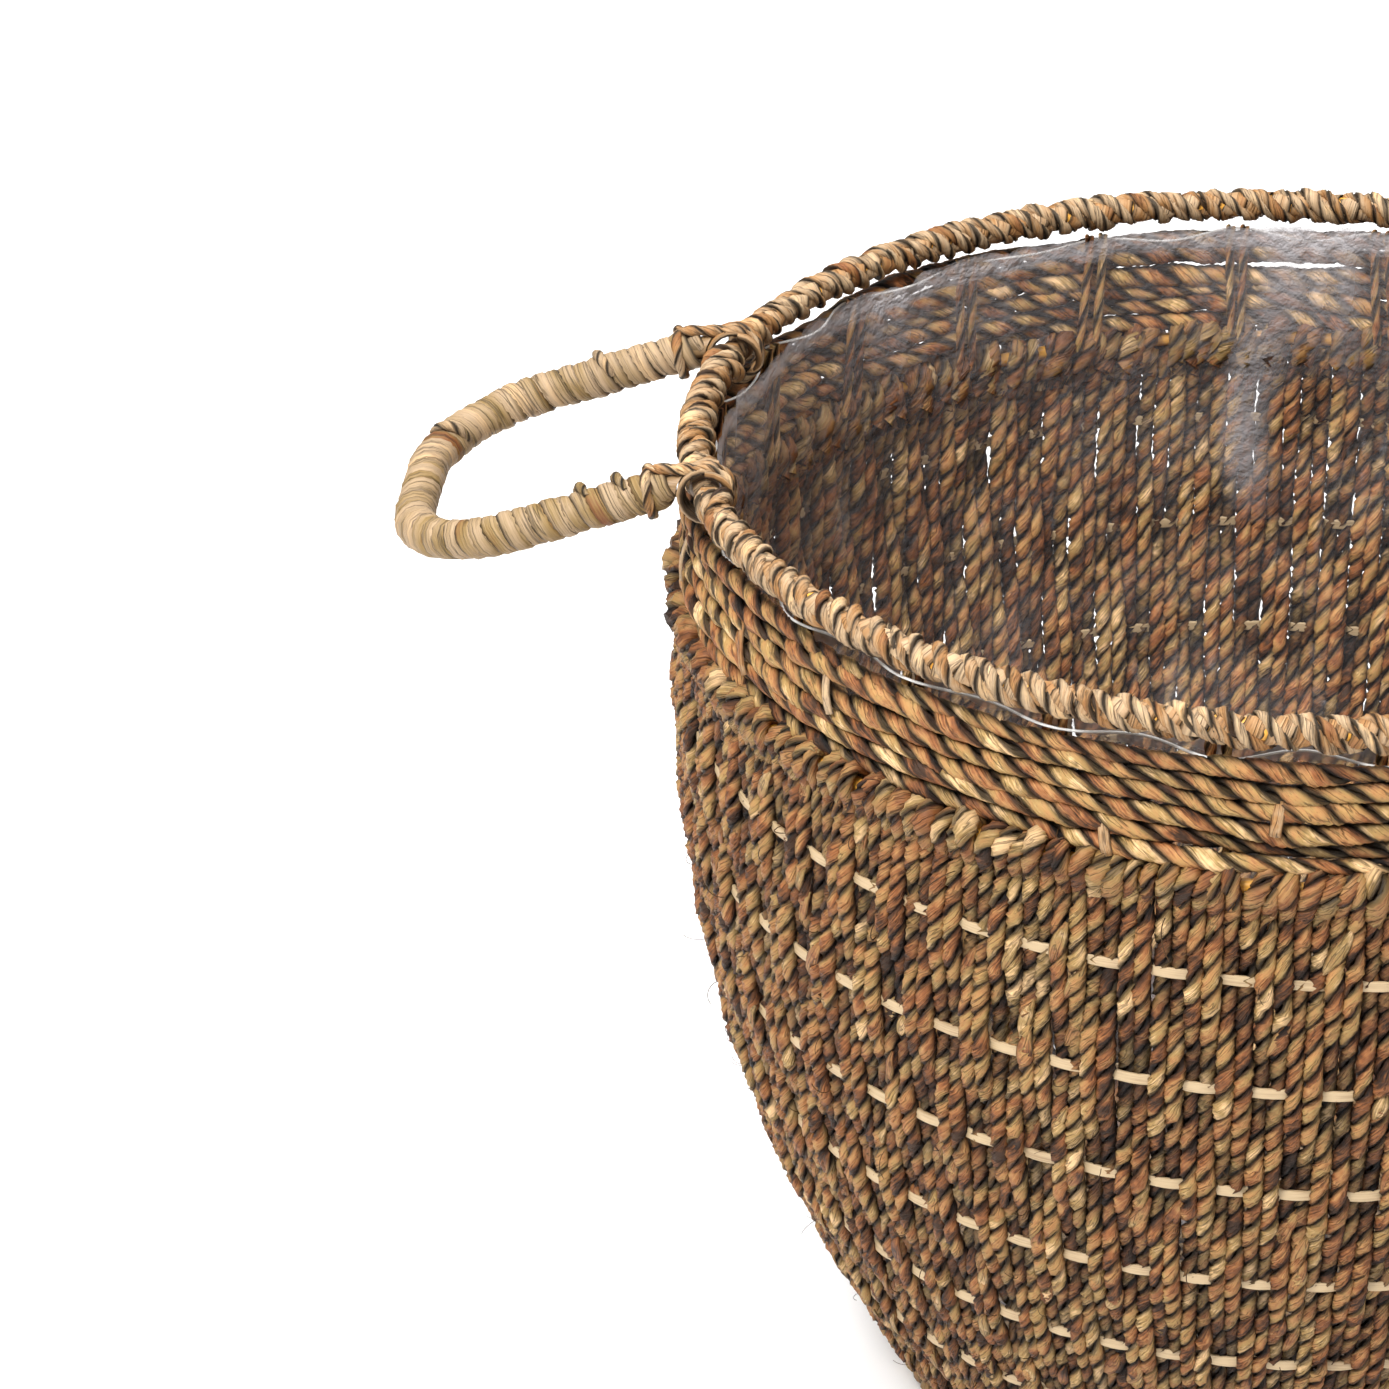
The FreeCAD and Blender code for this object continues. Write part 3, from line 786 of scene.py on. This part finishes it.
class BASKET_OT_neck(BasketOperator, bpy.types.Operator):
    """Builds the loose ropes round the neck, their cut ends, and the stakes behind them"""
    bl_idname = "basket.neck"
    bl_label = "Neck Ropes"

    def build(self, sizes):
        self.ropes(sizes)
        self.cut_ends()
        self.stakes()

    def ropes(self, sizes):
        """Ropes that wander up and down. Each is thicker where it leaves a gap beside it."""
        together, count = Drift(499), 720
        room = (2.7, 1.7, 0.7, 0.0, 0.0, 0.0)  # how far each rope dips under a lashing, in millimetres
        levels = []
        for number, name in enumerate(NECK_ROPES):
            rise, ripple = Drift(500 + number), Drift(580 + number, (9, 14, 19, 27))
            free = math.sin(math.pi * (number + 0.7) / (len(NECK_ROPES) + 0.4))
            level = []
            for azimuth in np.arange(count) * TURN / count:
                lift = 1.0 * together(azimuth) * free + 0.7 * rise(azimuth) * (0.3 + 0.7 * free)
                lift += 0.4 * ripple(azimuth) * (0.5 + 0.5 * free)
                lift -= room[number] * near_lashing(azimuth, 16 * MM)
                level.append(hoop(name)[1] + (lift - 0.4 * (number == len(NECK_ROPES) - 1)) * MM)
            levels.append(level)
        spacing = abs(hoop(NECK_ROPES[0])[1] - hoop(NECK_ROPES[1])[1])
        gaps = np.abs(np.diff(np.array(levels), axis=0)) / spacing
        for number, name in enumerate(NECK_ROPES):
            radius = hoop(name)[0]
            depth, girth = Drift(520 + number), Drift(540 + number, (7, 11, 17))
            line = []
            for index in range(count):
                azimuth = TURN * index / count
                beside = gaps[max(number - 1, 0):number + 1, index].max()
                point = round_point(radius + (0.25 if number < 3 else 0.7) * MM * depth(azimuth), azimuth,
                                    levels[number][index])
                line.append((point, min(1.28, max(0.9, beside)) + 0.04 * girth(azimuth), 0.0))
            turns = round(TURN * radius / sizes.neck_pitch * (1.0 + 0.12 * math.cos(number * 2.4)))
            wind(name + "_twine", [line], "wrap", grass("neck"), "neck_seagrass", [name], closed=True,
                 Pitch=TURN * radius / turns, Winding=1.3 * MM, Width=4.4 * MM, Thickness=2.7 * MM, Strands=2,
                 Step=sizes.neck_pitch / 15, Sides=8, Unevenness=0.6, Wander=1.0 * MM, Slip=5 * MM,
                 Grain=110.0, Seed=number + 60)

    def cut_ends(self):
        """Flat blade ends that hang out between the ropes."""
        (radius, top, _), bottom = hoop(NECK_ROPES[0]), hoop(NECK_ROPES[-1])[1]
        blades, count = [], 18
        for index in range(count):
            draw = np.random.default_rng(640 + index)
            azimuth = TURN * (index + draw.uniform(0.1, 0.9)) / count
            height = draw.uniform(min(bottom, top) + 8 * MM, max(bottom, top))
            slant, length = draw.uniform(-0.2, 0.8), draw.uniform(8, 15) * MM
            blade = []
            for share in np.linspace(0, 1, 6):
                out = radius + (1.4 + 3.2 * math.sin(1.9 * share)) * MM
                turn = azimuth + slant * length * share / radius
                blade.append((round_point(out, turn, height - length * share), turn, 1.7 * MM))
            blades.append(blade)
        flat_blades("neck_cut_ends", blades, grass("wrap"), "neck_seagrass")

    def stakes(self):
        """A pair of thin strands at each stake."""
        low, high = BOXES["neck_stakes"]
        inner = high[0] / math.cos(TURN / 2 / STAKES) - 2.2 * MM
        lines = []
        for index in range(STAKES):
            draw = np.random.default_rng(800 + index)
            for side in (-1, 1):
                lean = draw.uniform(-3, 3) * MM / RIM_R
                turn = TURN * (index + 0.5) / STAKES + side * 2.2 * MM / RIM_R
                lines.append([(round_point(inner, turn + lean, low[2] - 3 * MM), 1.0, 0.0),
                              (round_point(inner, turn + lean * 0.6, low[2] + 8 * MM), 0.95, 0.0),
                              (round_point(inner, turn, high[2] - 9 * MM), 1.0, 0.0),
                              (round_point(inner + 0.4 * MM, turn, high[2] - 1 * MM), 1.05, 0.0)])
        wind("neck_stakes_twine", lines, "rope", grass("neck"), "neck_seagrass", ["neck_stakes"],
             Pitch=26 * MM, Winding=0.7 * MM, Width=2.6 * MM, Thickness=1.4 * MM, Strands=2, Step=1.6 * MM,
             Sides=6, Unevenness=0.3, Wander=0.4 * MM, Seed=90)


def wound_ring(name, radius, height, core, tube, pitch, material, nodes, seed):
    """Blades wound once round a hoop, from its core out to the tube's radius."""
    turns, thick, count = round(TURN * radius / pitch), tube - core, 900
    line = [(round_point(radius, TURN * index / count, height), 1.0, 0.0) for index in range(count)]
    wind(name, [line], "wrap", material, "wrap_seagrass", nodes, closed=True, Pitch=-TURN * radius / turns,
         Winding=core + thick / 2, Width=pitch * 0.94, Thickness=thick, Strands=1, Step=1.1 * MM, Sides=8,
         Roll=0.12, Unevenness=0.35, Wander=0.3 * MM, Slip=3.0 * MM, Grain=120.0, Seed=seed)


def bulge(point):
    """How much thicker the rim's wrap is there: pressed in under each lashing, doubled up beside it."""
    nearest = min((Vector(point) - spot).length for spot in LASHINGS)
    beside = math.exp(-((nearest - 10.5 * MM) / (2.6 * MM)) ** 2)
    return 0.13 * beside - 0.17 * math.exp(-(nearest / (5.5 * MM)) ** 2)


class BASKET_OT_rim(BasketOperator, bpy.types.Operator):
    """Builds the seagrass wound round the rim's cane hoop"""
    bl_idname = "basket.rim"
    bl_label = "Rim Wrap"

    def build(self, sizes):
        wound_ring("rim_wrap_underlay", RIM_R, RIM_Z, RIM_CORE, RIM_CORE + 0.9 * MM, sizes.rim_pitch,
                   grass("wrap"), ["rim_wrap"], 110)
        self.beads(sizes.rim_pitch)
        core = Made.get("cane core", lambda: cane("peeled cane", sRGB(222, 160, 62), sRGB(186, 120, 40)))
        stalk = Made.get("stalk core", lambda: cane("stalk core", sRGB(150, 120, 84), sRGB(92, 68, 42)))
        for name in ("rim_hoop", "shoulder_hoop", "base_hoop", "handle_left_core", "handle_right_core"):
            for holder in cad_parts[name].material_slots:
                holder.material = stalk if name.startswith("handle") else core

    def beads(self, pitch):
        """Twisted strands wound side by side round the hoop, so that each turn stands out as a bead."""
        starts, seed = 3, 120
        turns = round(TURN * RIM_R / pitch / starts)
        count = turns * 22
        lines = []
        for start in range(starts):
            slip, swell, puff = (Drift(seed + start * 3 + k, waves) for k, waves in
                                 enumerate(((5, 9, 16, 27, 41), (11, 23, 47, 71), (7, 19, 37, 59))))
            line = []
            for index in range(count):
                azimuth = TURN * index / count
                winding = -turns * azimuth + TURN * start / starts + 0.42 * slip(azimuth)
                thicker = bulge(round_point(RIM_R, azimuth, RIM_Z))
                out = hoop("rim_wrap")[2] - 1.6 * MM + 0.25 * MM * puff(azimuth) + thicker * 8 * MM
                across, up = out * math.cos(winding), out * math.sin(winding)
                line.append((round_point(RIM_R + across, azimuth, RIM_Z + up),
                             (1.0 + 0.11 * swell(azimuth)) * (1 + thicker), 0.0))
            lines.append(line)
        wind("rim_wrap_beads", lines, "rope", grass("wrap"), "wrap_seagrass", ["rim_wrap"], closed=True,
             Pitch=13 * MM, Winding=0.9 * MM, Width=3.7 * MM, Thickness=1.9 * MM, Strands=2, Step=1.05 * MM,
             Sides=8, Unevenness=0.5, Wander=0.7 * MM, Slip=4 * MM, Seed=seed)


class BASKET_OT_base(BasketOperator, bpy.types.Operator):
    """Builds the coiled rope base and its wound edge"""
    bl_idname = "basket.base"
    bl_label = "Coiled Base"

    def build(self, sizes):
        wound_ring("base_wrap_blades", BASE_R, BASE_Z + 0.3 * MM, BASE_CORE,
                   hoop("base_wrap")[2] - 0.2 * MM, 6.0 * MM, grass("loop"), ["base_wrap"], 150)
        low, high = BOXES["base_coil"]
        thick, outer = high[2] - low[2], high[0]
        gap = thick * 0.86
        turns = (outer - thick) / gap + 1.0
        steps = int(turns * 60)
        line = []
        for index in range(steps):
            azimuth = TURN * turns * index / steps
            radius = min(thick / 2 + gap * azimuth / TURN, outer - thick / 2)
            line.append((round_point(radius, azimuth, low[2] + thick / 2), 1.0, 0.0))
        wind("base_coil_rope", [line], "wrap", grass("handle"), "wall_seagrass", ["base_coil"],
             Pitch=17 * MM, Winding=1.3 * MM, Width=4.2 * MM, Thickness=2.9 * MM, Strands=2, Step=1.9 * MM,
             Sides=6, Unevenness=0.2, Seed=160)


class BASKET_OT_liner(BasketOperator, bpy.types.Operator):
    """Builds the creased clear liner and the thread that holds it"""
    bl_idname = "basket.liner"
    bl_label = "Liner"

    def build(self, sizes):
        low, high = BOXES["liner"]
        around = 480
        floor, top = low[2] + 0.4 * MM, RIM_Z - 3.6 * MM
        neck = high[0] - 3.4 * MM
        hem = 8 * MM
        # Where painted reflection haze lies on the ruffles of the gathered top.
        glare_veil = Drift(230, (1, 2, 5, 9))
        creases, ruffle = Drift(200, (3, 7, 11, 17, 23)), Drift(201, (19, 31, 43, 61, 83))
        folds = [Drift(210 + i, (5, 9, 14, 22, 37)) for i in range(4)]
        clearance = 6.4 * MM  # inside the middle of the wall
        profile = [(share * (BASE_R - 14 * MM), floor) for share in np.linspace(0.02, 1, 14)]
        for slope in np.linspace(slope_at(floor + 5 * MM), slope_at(SHOULDER_Z - 6 * MM), 62):
            profile.append(arc_point(slope, -clearance))
        last = profile[-1]
        for share in np.linspace(0.05, 1, 30):
            profile.append((last[0] + (neck - last[0]) * min(1.0, share * 2.2),
                            last[1] + (top - last[1]) * share))
        tied = [near_lashing(TURN * index / around, 13 * MM) for index in range(around)]
        rows, milkiness_and_glare = [], []
        for radius, height in profile:
            ring = []
            climb = (height - floor) / (top - floor)
            gather = max(0.0, climb - 0.80) / 0.20
            edge = max(0.0, 1 - abs(height - (top - hem / 2)) / (hem / 2)) ** 0.3
            for index in range(around):
                azimuth = TURN * index / around
                fold = sum(drift(azimuth + (0.35 - 0.5 * k) * climb) * (0.9, 0.7, 0.6, 0.5)[k]
                           for k, drift in enumerate(folds)) / 2.2
                ridge = max(0.0, fold - 0.7)
                push = (0.5 * creases(azimuth + 0.5 * climb) + 1.3 * ridge) * min(1.0, climb * 5) * MM
                wave = ruffle(azimuth)
                push += 0.9 * MM * abs(wave) * gather
                droop = (0.8 * wave + 1.0) * MM * gather**3 + 4.5 * MM * tied[index] * gather**2
                ring.append(round_point(max(radius - abs(push), 0.001), azimuth, height - droop))
                # Milkiness at ridges, gathers and the hem, plus a painted reflection: haze on the ruffles
                # where the veil is high and on the upper left (-x) side, where the film is seen edge-on.
                milkiness_and_glare.append(min(1.0, ridge * 0.6 + 0.08 * min(1.0, gather * 1.5) + 0.6 * edge
                                 + 0.18 * gather * abs(wave) * max(0.0, glare_veil(azimuth))
                                 + 0.3 * max(0.0, climb - 0.35) * max(0.0, -math.cos(azimuth)) ** 3))
            rows.append(ring)
        piece = sheet_piece("liner_film", rows, Made.get("film", clear_film))
        milkiness_and_glare.append(milkiness_and_glare[0])
        piece.data.attributes.new("crease", "FLOAT", "POINT").data.foreach_set("value", milkiness_and_glare)
        place_piece(piece, "clear_film", ["liner"])
        self.stitches(high[2])

    def stitches(self, edge):
        """A thread that runs round under the film's edge and swings out over each stake."""
        stitches, count = [], STAKES * 24
        for index in range(count):
            azimuth = TURN * index / count
            swing = math.cos(STAKES * (azimuth - TURN / 2 / STAKES))
            height = edge + (0.9 + 0.8 * math.sin(5 * azimuth) * swing) * MM
            out = 2.9 * MM * (1 + swing) * (1 - near_lashing(azimuth, 13 * MM))
            stitches.append((round_point(hoop("liner_thread")[0] + out, azimuth, height), 1.0, 0.0))
        wind("liner_thread_stitches", [stitches], "wrap", Made.get("thread", clear_thread), "clear_thread",
             ["liner_thread"], closed=True, Pitch=UNTWISTED, Winding=0.0, Width=0.8 * MM,
             Thickness=0.8 * MM, Strands=1, Step=2.0 * MM, Sides=6, Unevenness=0.1, Seed=5)


def handle_line(side, sizes):
    """The centre line of a handle at rest, from its front lashing round to its back one."""
    word = "left" if side < 0 else "right"
    front, back = middle(f"handle_{word}_lashing_front"), middle(f"handle_{word}_lashing_back")
    low, high = BOXES[f"handle_{word}_wrap"]
    half = (back.y - front.y) / 2
    hinge = Vector((front.x, 0.0, front.z))
    droop, lift, bend = sizes.handle_droop, sizes.handle_lift, sizes.handle_bend
    tube = half_thickness(word, half)
    far = abs(low[0] if side < 0 else high[0]) - abs(hinge.x)
    reach = (far - tube - lift * math.sin(droop)) / math.cos(droop)
    out = Vector((side * math.cos(droop), 0.0, -math.sin(droop)))
    up = Vector((side * math.sin(droop), 0.0, math.cos(droop)))
    start = 8.5 * MM
    flat = [(x, -half) for x in np.linspace(start, reach - bend, 30)]
    turns = np.linspace(0, math.pi / 2, 16)[1:]
    flat += [(reach - bend + bend * math.sin(turn), -(half - bend) - bend * math.cos(turn)) for turn in turns]
    flat += [(reach - bend + bend * math.cos(turn), (half - bend) + bend * math.sin(turn)) for turn in turns]
    flat += [(x, half) for x in np.linspace(reach - bend, start, 30)[1:]]
    return [hinge + out * x + up * lift + Vector((0.0, y, 0.0)) for x, y in flat], hinge, out, up, tube


def half_thickness(word, half):
    """Radius of a handle's wrapped tube, from how far it stands outside its legs."""
    return BOXES[f"handle_{word}_wrap"][1][1] - half


def lashing_arch(end, half, hinge, out, up, leg, tube, shift):
    """The line of one lashing strand: round a leg, over its top to the rim, and round and under the rim."""
    reach, grip = 7.3 * MM, tube + 0.7 * MM
    line = []
    for share in np.linspace(0, 1, 56):
        if share < 0.3:
            turn = math.radians(165) * (1 - share / 0.3)
            x, lift = 16 * MM - share * 8 * MM, leg + grip * math.cos(turn)
            aside = math.copysign(grip * math.sin(turn), shift)
        elif share < 0.5:
            slide = (share - 0.3) / 0.2
            x, lift = (13.6 - 12.5 * slide) * MM, leg + grip + (reach - leg - grip) * slide**1.5
            aside = 0.0
        else:
            turn = math.radians(82 + 215 * (share - 0.5) / 0.5)
            x, lift, aside = reach * math.cos(turn), reach * math.sin(turn), 0.0
        y = end * half + aside + shift * MM * max(0.0, share - 0.3) * 1.5
        line.append((tuple(hinge + out * x + up * lift + Vector((0.0, y, 0.0))), 1.0, 0.0))
    return line


class BASKET_OT_handles(BasketOperator, bpy.types.Operator):
    """Builds the wound handles and the lashings that tie them to the rim"""
    bl_idname = "basket.handles"
    bl_label = "Handles"

    def build(self, sizes):
        for side, word in ((-1, "left"), (1, "right")):
            points, hinge, out, up, tube = handle_line(side, sizes)
            body = f"handle_{word}"
            half = (middle(f"{body}_lashing_back").y - middle(f"{body}_lashing_front").y) / 2
            core = BOXES[f"{body}_core"][1][1] - half
            knob = Drift(17 + side, (5, 8, 13))
            thick = tube - core + 0.3 * MM
            line = []
            for index, point in enumerate(points):
                room = ((point - hinge) * Vector((1, 0, 1))).length - 6.4 * MM
                line.append((tuple(point), min(room / (core + thick), 1.0 + 0.02 * knob(index / 12)), 0.0))
            wind(f"{body}_wrap_blades", [line], "rope", grass("handle"), "handle_seagrass",
                 [f"{body}_wrap"], body, Pitch=2 * sizes.handle_pitch, Winding=core + thick / 2,
                 Width=sizes.handle_pitch * 1.45, Thickness=thick, Strands=2, Step=0.7 * MM, Sides=8,
                 Roll=0.2, Unevenness=0.3, Wander=0.6 * MM, Slip=3.0 * MM, Grain=130.0, Seed=20 + side)
            self.knots(body, points, tube, side)
            for end, name in ((-1, "front"), (1, "back")):
                node = f"{body}_lashing_{name}"
                low, high = BOXES[node]
                centre = middle(node)
                outer = (high[2] - low[2]) / 2
                reach = (high[1] - low[1]) / 2 + 0.6 * MM
                line = [((centre.x, centre.y + reach * share, centre.z), 1.0, 0.0)
                        for share in np.linspace(-1, 1, 12)]
                wind(f"{node}_turns", [line], "rope", grass("wrap"), "wrap_seagrass", [node], body,
                     Pitch=5.2 * MM, Winding=outer - 1.1 * MM, Width=2.6 * MM, Thickness=1.8 * MM,
                     Strands=2, Step=0.25 * MM, Sides=8, Roll=0.25, Unevenness=0.35, Wander=0.6 * MM,
                     Slip=1.0 * MM, Grain=150.0, Seed=7 + end)
                arches = [lashing_arch(end, half, hinge, out, up, sizes.handle_lift, tube, shift)
                          for shift in (-2.8, 2.8)]
                wind(f"{node}_arch", arches, "rope", grass("wrap"), "wrap_seagrass", [node], body,
                     Pitch=13 * MM, Winding=0.6 * MM, Width=3.2 * MM, Thickness=1.4 * MM, Strands=2,
                     Step=0.9 * MM, Sides=8, Unevenness=0.3, Wander=0.3 * MM, Seed=27 + end)

    def knots(self, body, points, tube, side):
        """Small knots of blade on the legs, where one blade ends and the next begins."""
        lines = []
        for spot in (9, 16, 49, 70) if side < 0 else (14, 46, 75):
            draw = np.random.default_rng(60 + spot)
            start, ahead = points[spot], (points[spot + 1] - points[spot - 1]).normalized()
            lift = Vector((0, 0, 1)) - ahead * ahead.z
            lift.normalize()
            across = ahead.cross(lift)
            tilt = draw.uniform(-0.5, 0.7)
            line = []
            for share in np.linspace(0, 1, 12):
                turn = tilt - 0.9 + 2.2 * share
                reach = tube + 0.9 * MM * math.sin(math.pi * share)
                point = start + (lift * math.cos(turn) + across * math.sin(turn)) * reach
                point += ahead * (share - 0.5) * 5.5 * MM
                line.append((tuple(point), 0.6 + math.sin(math.pi * share) * 0.8, 0.0))
            lines.append(line)
        wind(f"{body}_knots", lines, "rope", grass("handle"), "handle_seagrass", (), body, Pitch=9 * MM,
             Winding=0.5 * MM, Width=2.4 * MM, Thickness=1.3 * MM, Strands=2, Step=0.6 * MM, Sides=8,
             Unevenness=0.4, Seed=70)


class BASKET_OT_fibres(BasketOperator, bpy.types.Operator):
    """Scatters loose fibres over the wall, the neck and the rim"""
    bl_idname = "basket.fibres"
    bl_label = "Loose Fibres"

    def build(self, sizes):
        around = 96
        rows = []
        for slope in np.linspace(slope_at(BASE_Z * 2), slope_at(SHOULDER_Z), 16):
            rows.append([wall_point(slope, 2.6 * MM, TURN * i / around) for i in range(around)])
        for height in np.linspace(SHOULDER_Z + 6 * MM, RIM_Z - 22 * MM, 3):
            rows.append([round_point(RIM_R + 2 * MM, TURN * i / around, height) for i in range(around)])
        ground = sheet_piece("fibre_ground", rows, grass("wrap"))
        mesh = ground.data
        bpy.data.objects.remove(ground)
        grow("loose_fibres", mesh, scatter_tree(), grass("wrap"), "wall_seagrass", Density=1300.0,
             Smallest=0.3, Largest=1.0, Seed=11)


class BASKET_OT_stage(BasketOperator, bpy.types.Operator):
    """Sets the floor, the lights and the camera"""
    bl_idname = "basket.stage"
    bl_label = "Stage"

    def build(self, sizes):
        scene = bpy.context.scene
        reach = 30.0
        corners = [(-reach, -reach, 0), (reach, -reach, 0), (reach, reach, 0), (-reach, reach, 0)]
        floor = mesh_piece("floor", corners, [(0, 1, 2, 3)], plain_floor())

        world = bpy.data.worlds.new("studio")
        world.use_nodes = True
        back = world.node_tree.nodes["Background"]
        back.inputs["Color"].default_value = (1.0, 0.985, 0.97, 1.0)
        back.inputs["Strength"].default_value = 0.37
        scene.world = world
        for name, place, size, power in (("overhead", (-0.2, 0.1, 2.4), 3.0, 112.0),
                                         ("key", (-0.9, -1.5, 2.3), 0.7, 74.0),
                                         ("fill", (1.8, -1.6, 1.3), 1.6, 4.0)):
            light = bpy.data.lights.new(name, "AREA")
            light.size = size
            light.energy = power
            lamp = bpy.data.objects.new(name, light)
            lamp.location = place
            lamp.rotation_euler = (Vector((0, 0, 0.18)) - Vector(place)).to_track_quat("-Z", "Y").to_euler()
            scene.collection.objects.link(lamp)

        camera = bpy.data.cameras.new("camera")
        camera.sensor_width = 36.0
        camera.lens = 163.3
        camera.clip_end = 100.0
        view = bpy.data.objects.new("camera", camera)
        view.location = (-0.1853 * RIM_R, -9.3447 * RIM_R, 4.398 * RIM_R + RIM_Z)
        heading, pitch, roll = math.radians(5.0), math.radians(27.62), math.radians(0.4257)
        ahead = Vector((-math.sin(heading) * math.cos(pitch), math.cos(heading) * math.cos(pitch),
                        -math.sin(pitch)))
        view.rotation_mode = "QUATERNION"
        view.rotation_quaternion = ahead.to_track_quat("-Z", "Y") @ Euler((0, 0, roll)).to_quaternion()
        scene.collection.objects.link(view)
        scene.camera = view
        scene.view_settings.view_transform = "Standard"


class BASKET_PT_panel(bpy.types.Panel):
    """Lists the basket's pieces, sizes and colours"""
    bl_label = "Seagrass Basket"
    bl_idname = "BASKET_PT_panel"
    bl_space_type = "VIEW_3D"
    bl_region_type = "UI"
    bl_category = "Basket"

    def draw(self, context):
        for group in (context.scene.basket_sizes, context.scene.basket_colours):
            column = self.layout.column(align=True)
            for key in group.__annotations__:
                column.prop(group, key)
        column = self.layout.column(align=True)
        for operator in OPERATORS:
            column.operator(operator.bl_idname)


OPERATORS = (BASKET_OT_stage, BASKET_OT_wall, BASKET_OT_leaves, BASKET_OT_strips, BASKET_OT_shoulder,
             BASKET_OT_neck, BASKET_OT_rim, BASKET_OT_base, BASKET_OT_liner, BASKET_OT_handles,
             BASKET_OT_fibres)
CLASSES = (BasketSizes, BasketColours, *OPERATORS, BASKET_PT_panel)


def register():
    for item in CLASSES:
        bpy.utils.register_class(item)
    bpy.types.Scene.basket_sizes = PointerProperty(type=BasketSizes)
    bpy.types.Scene.basket_colours = PointerProperty(type=BasketColours)


def unregister():
    del bpy.types.Scene.basket_sizes
    del bpy.types.Scene.basket_colours
    for item in reversed(CLASSES):
        bpy.utils.unregister_class(item)


def main():
    register()
    for operator in OPERATORS:
        category, name = operator.bl_idname.split(".")
        getattr(getattr(bpy.ops, category), name)()


if __name__ == "__main__":
    main()
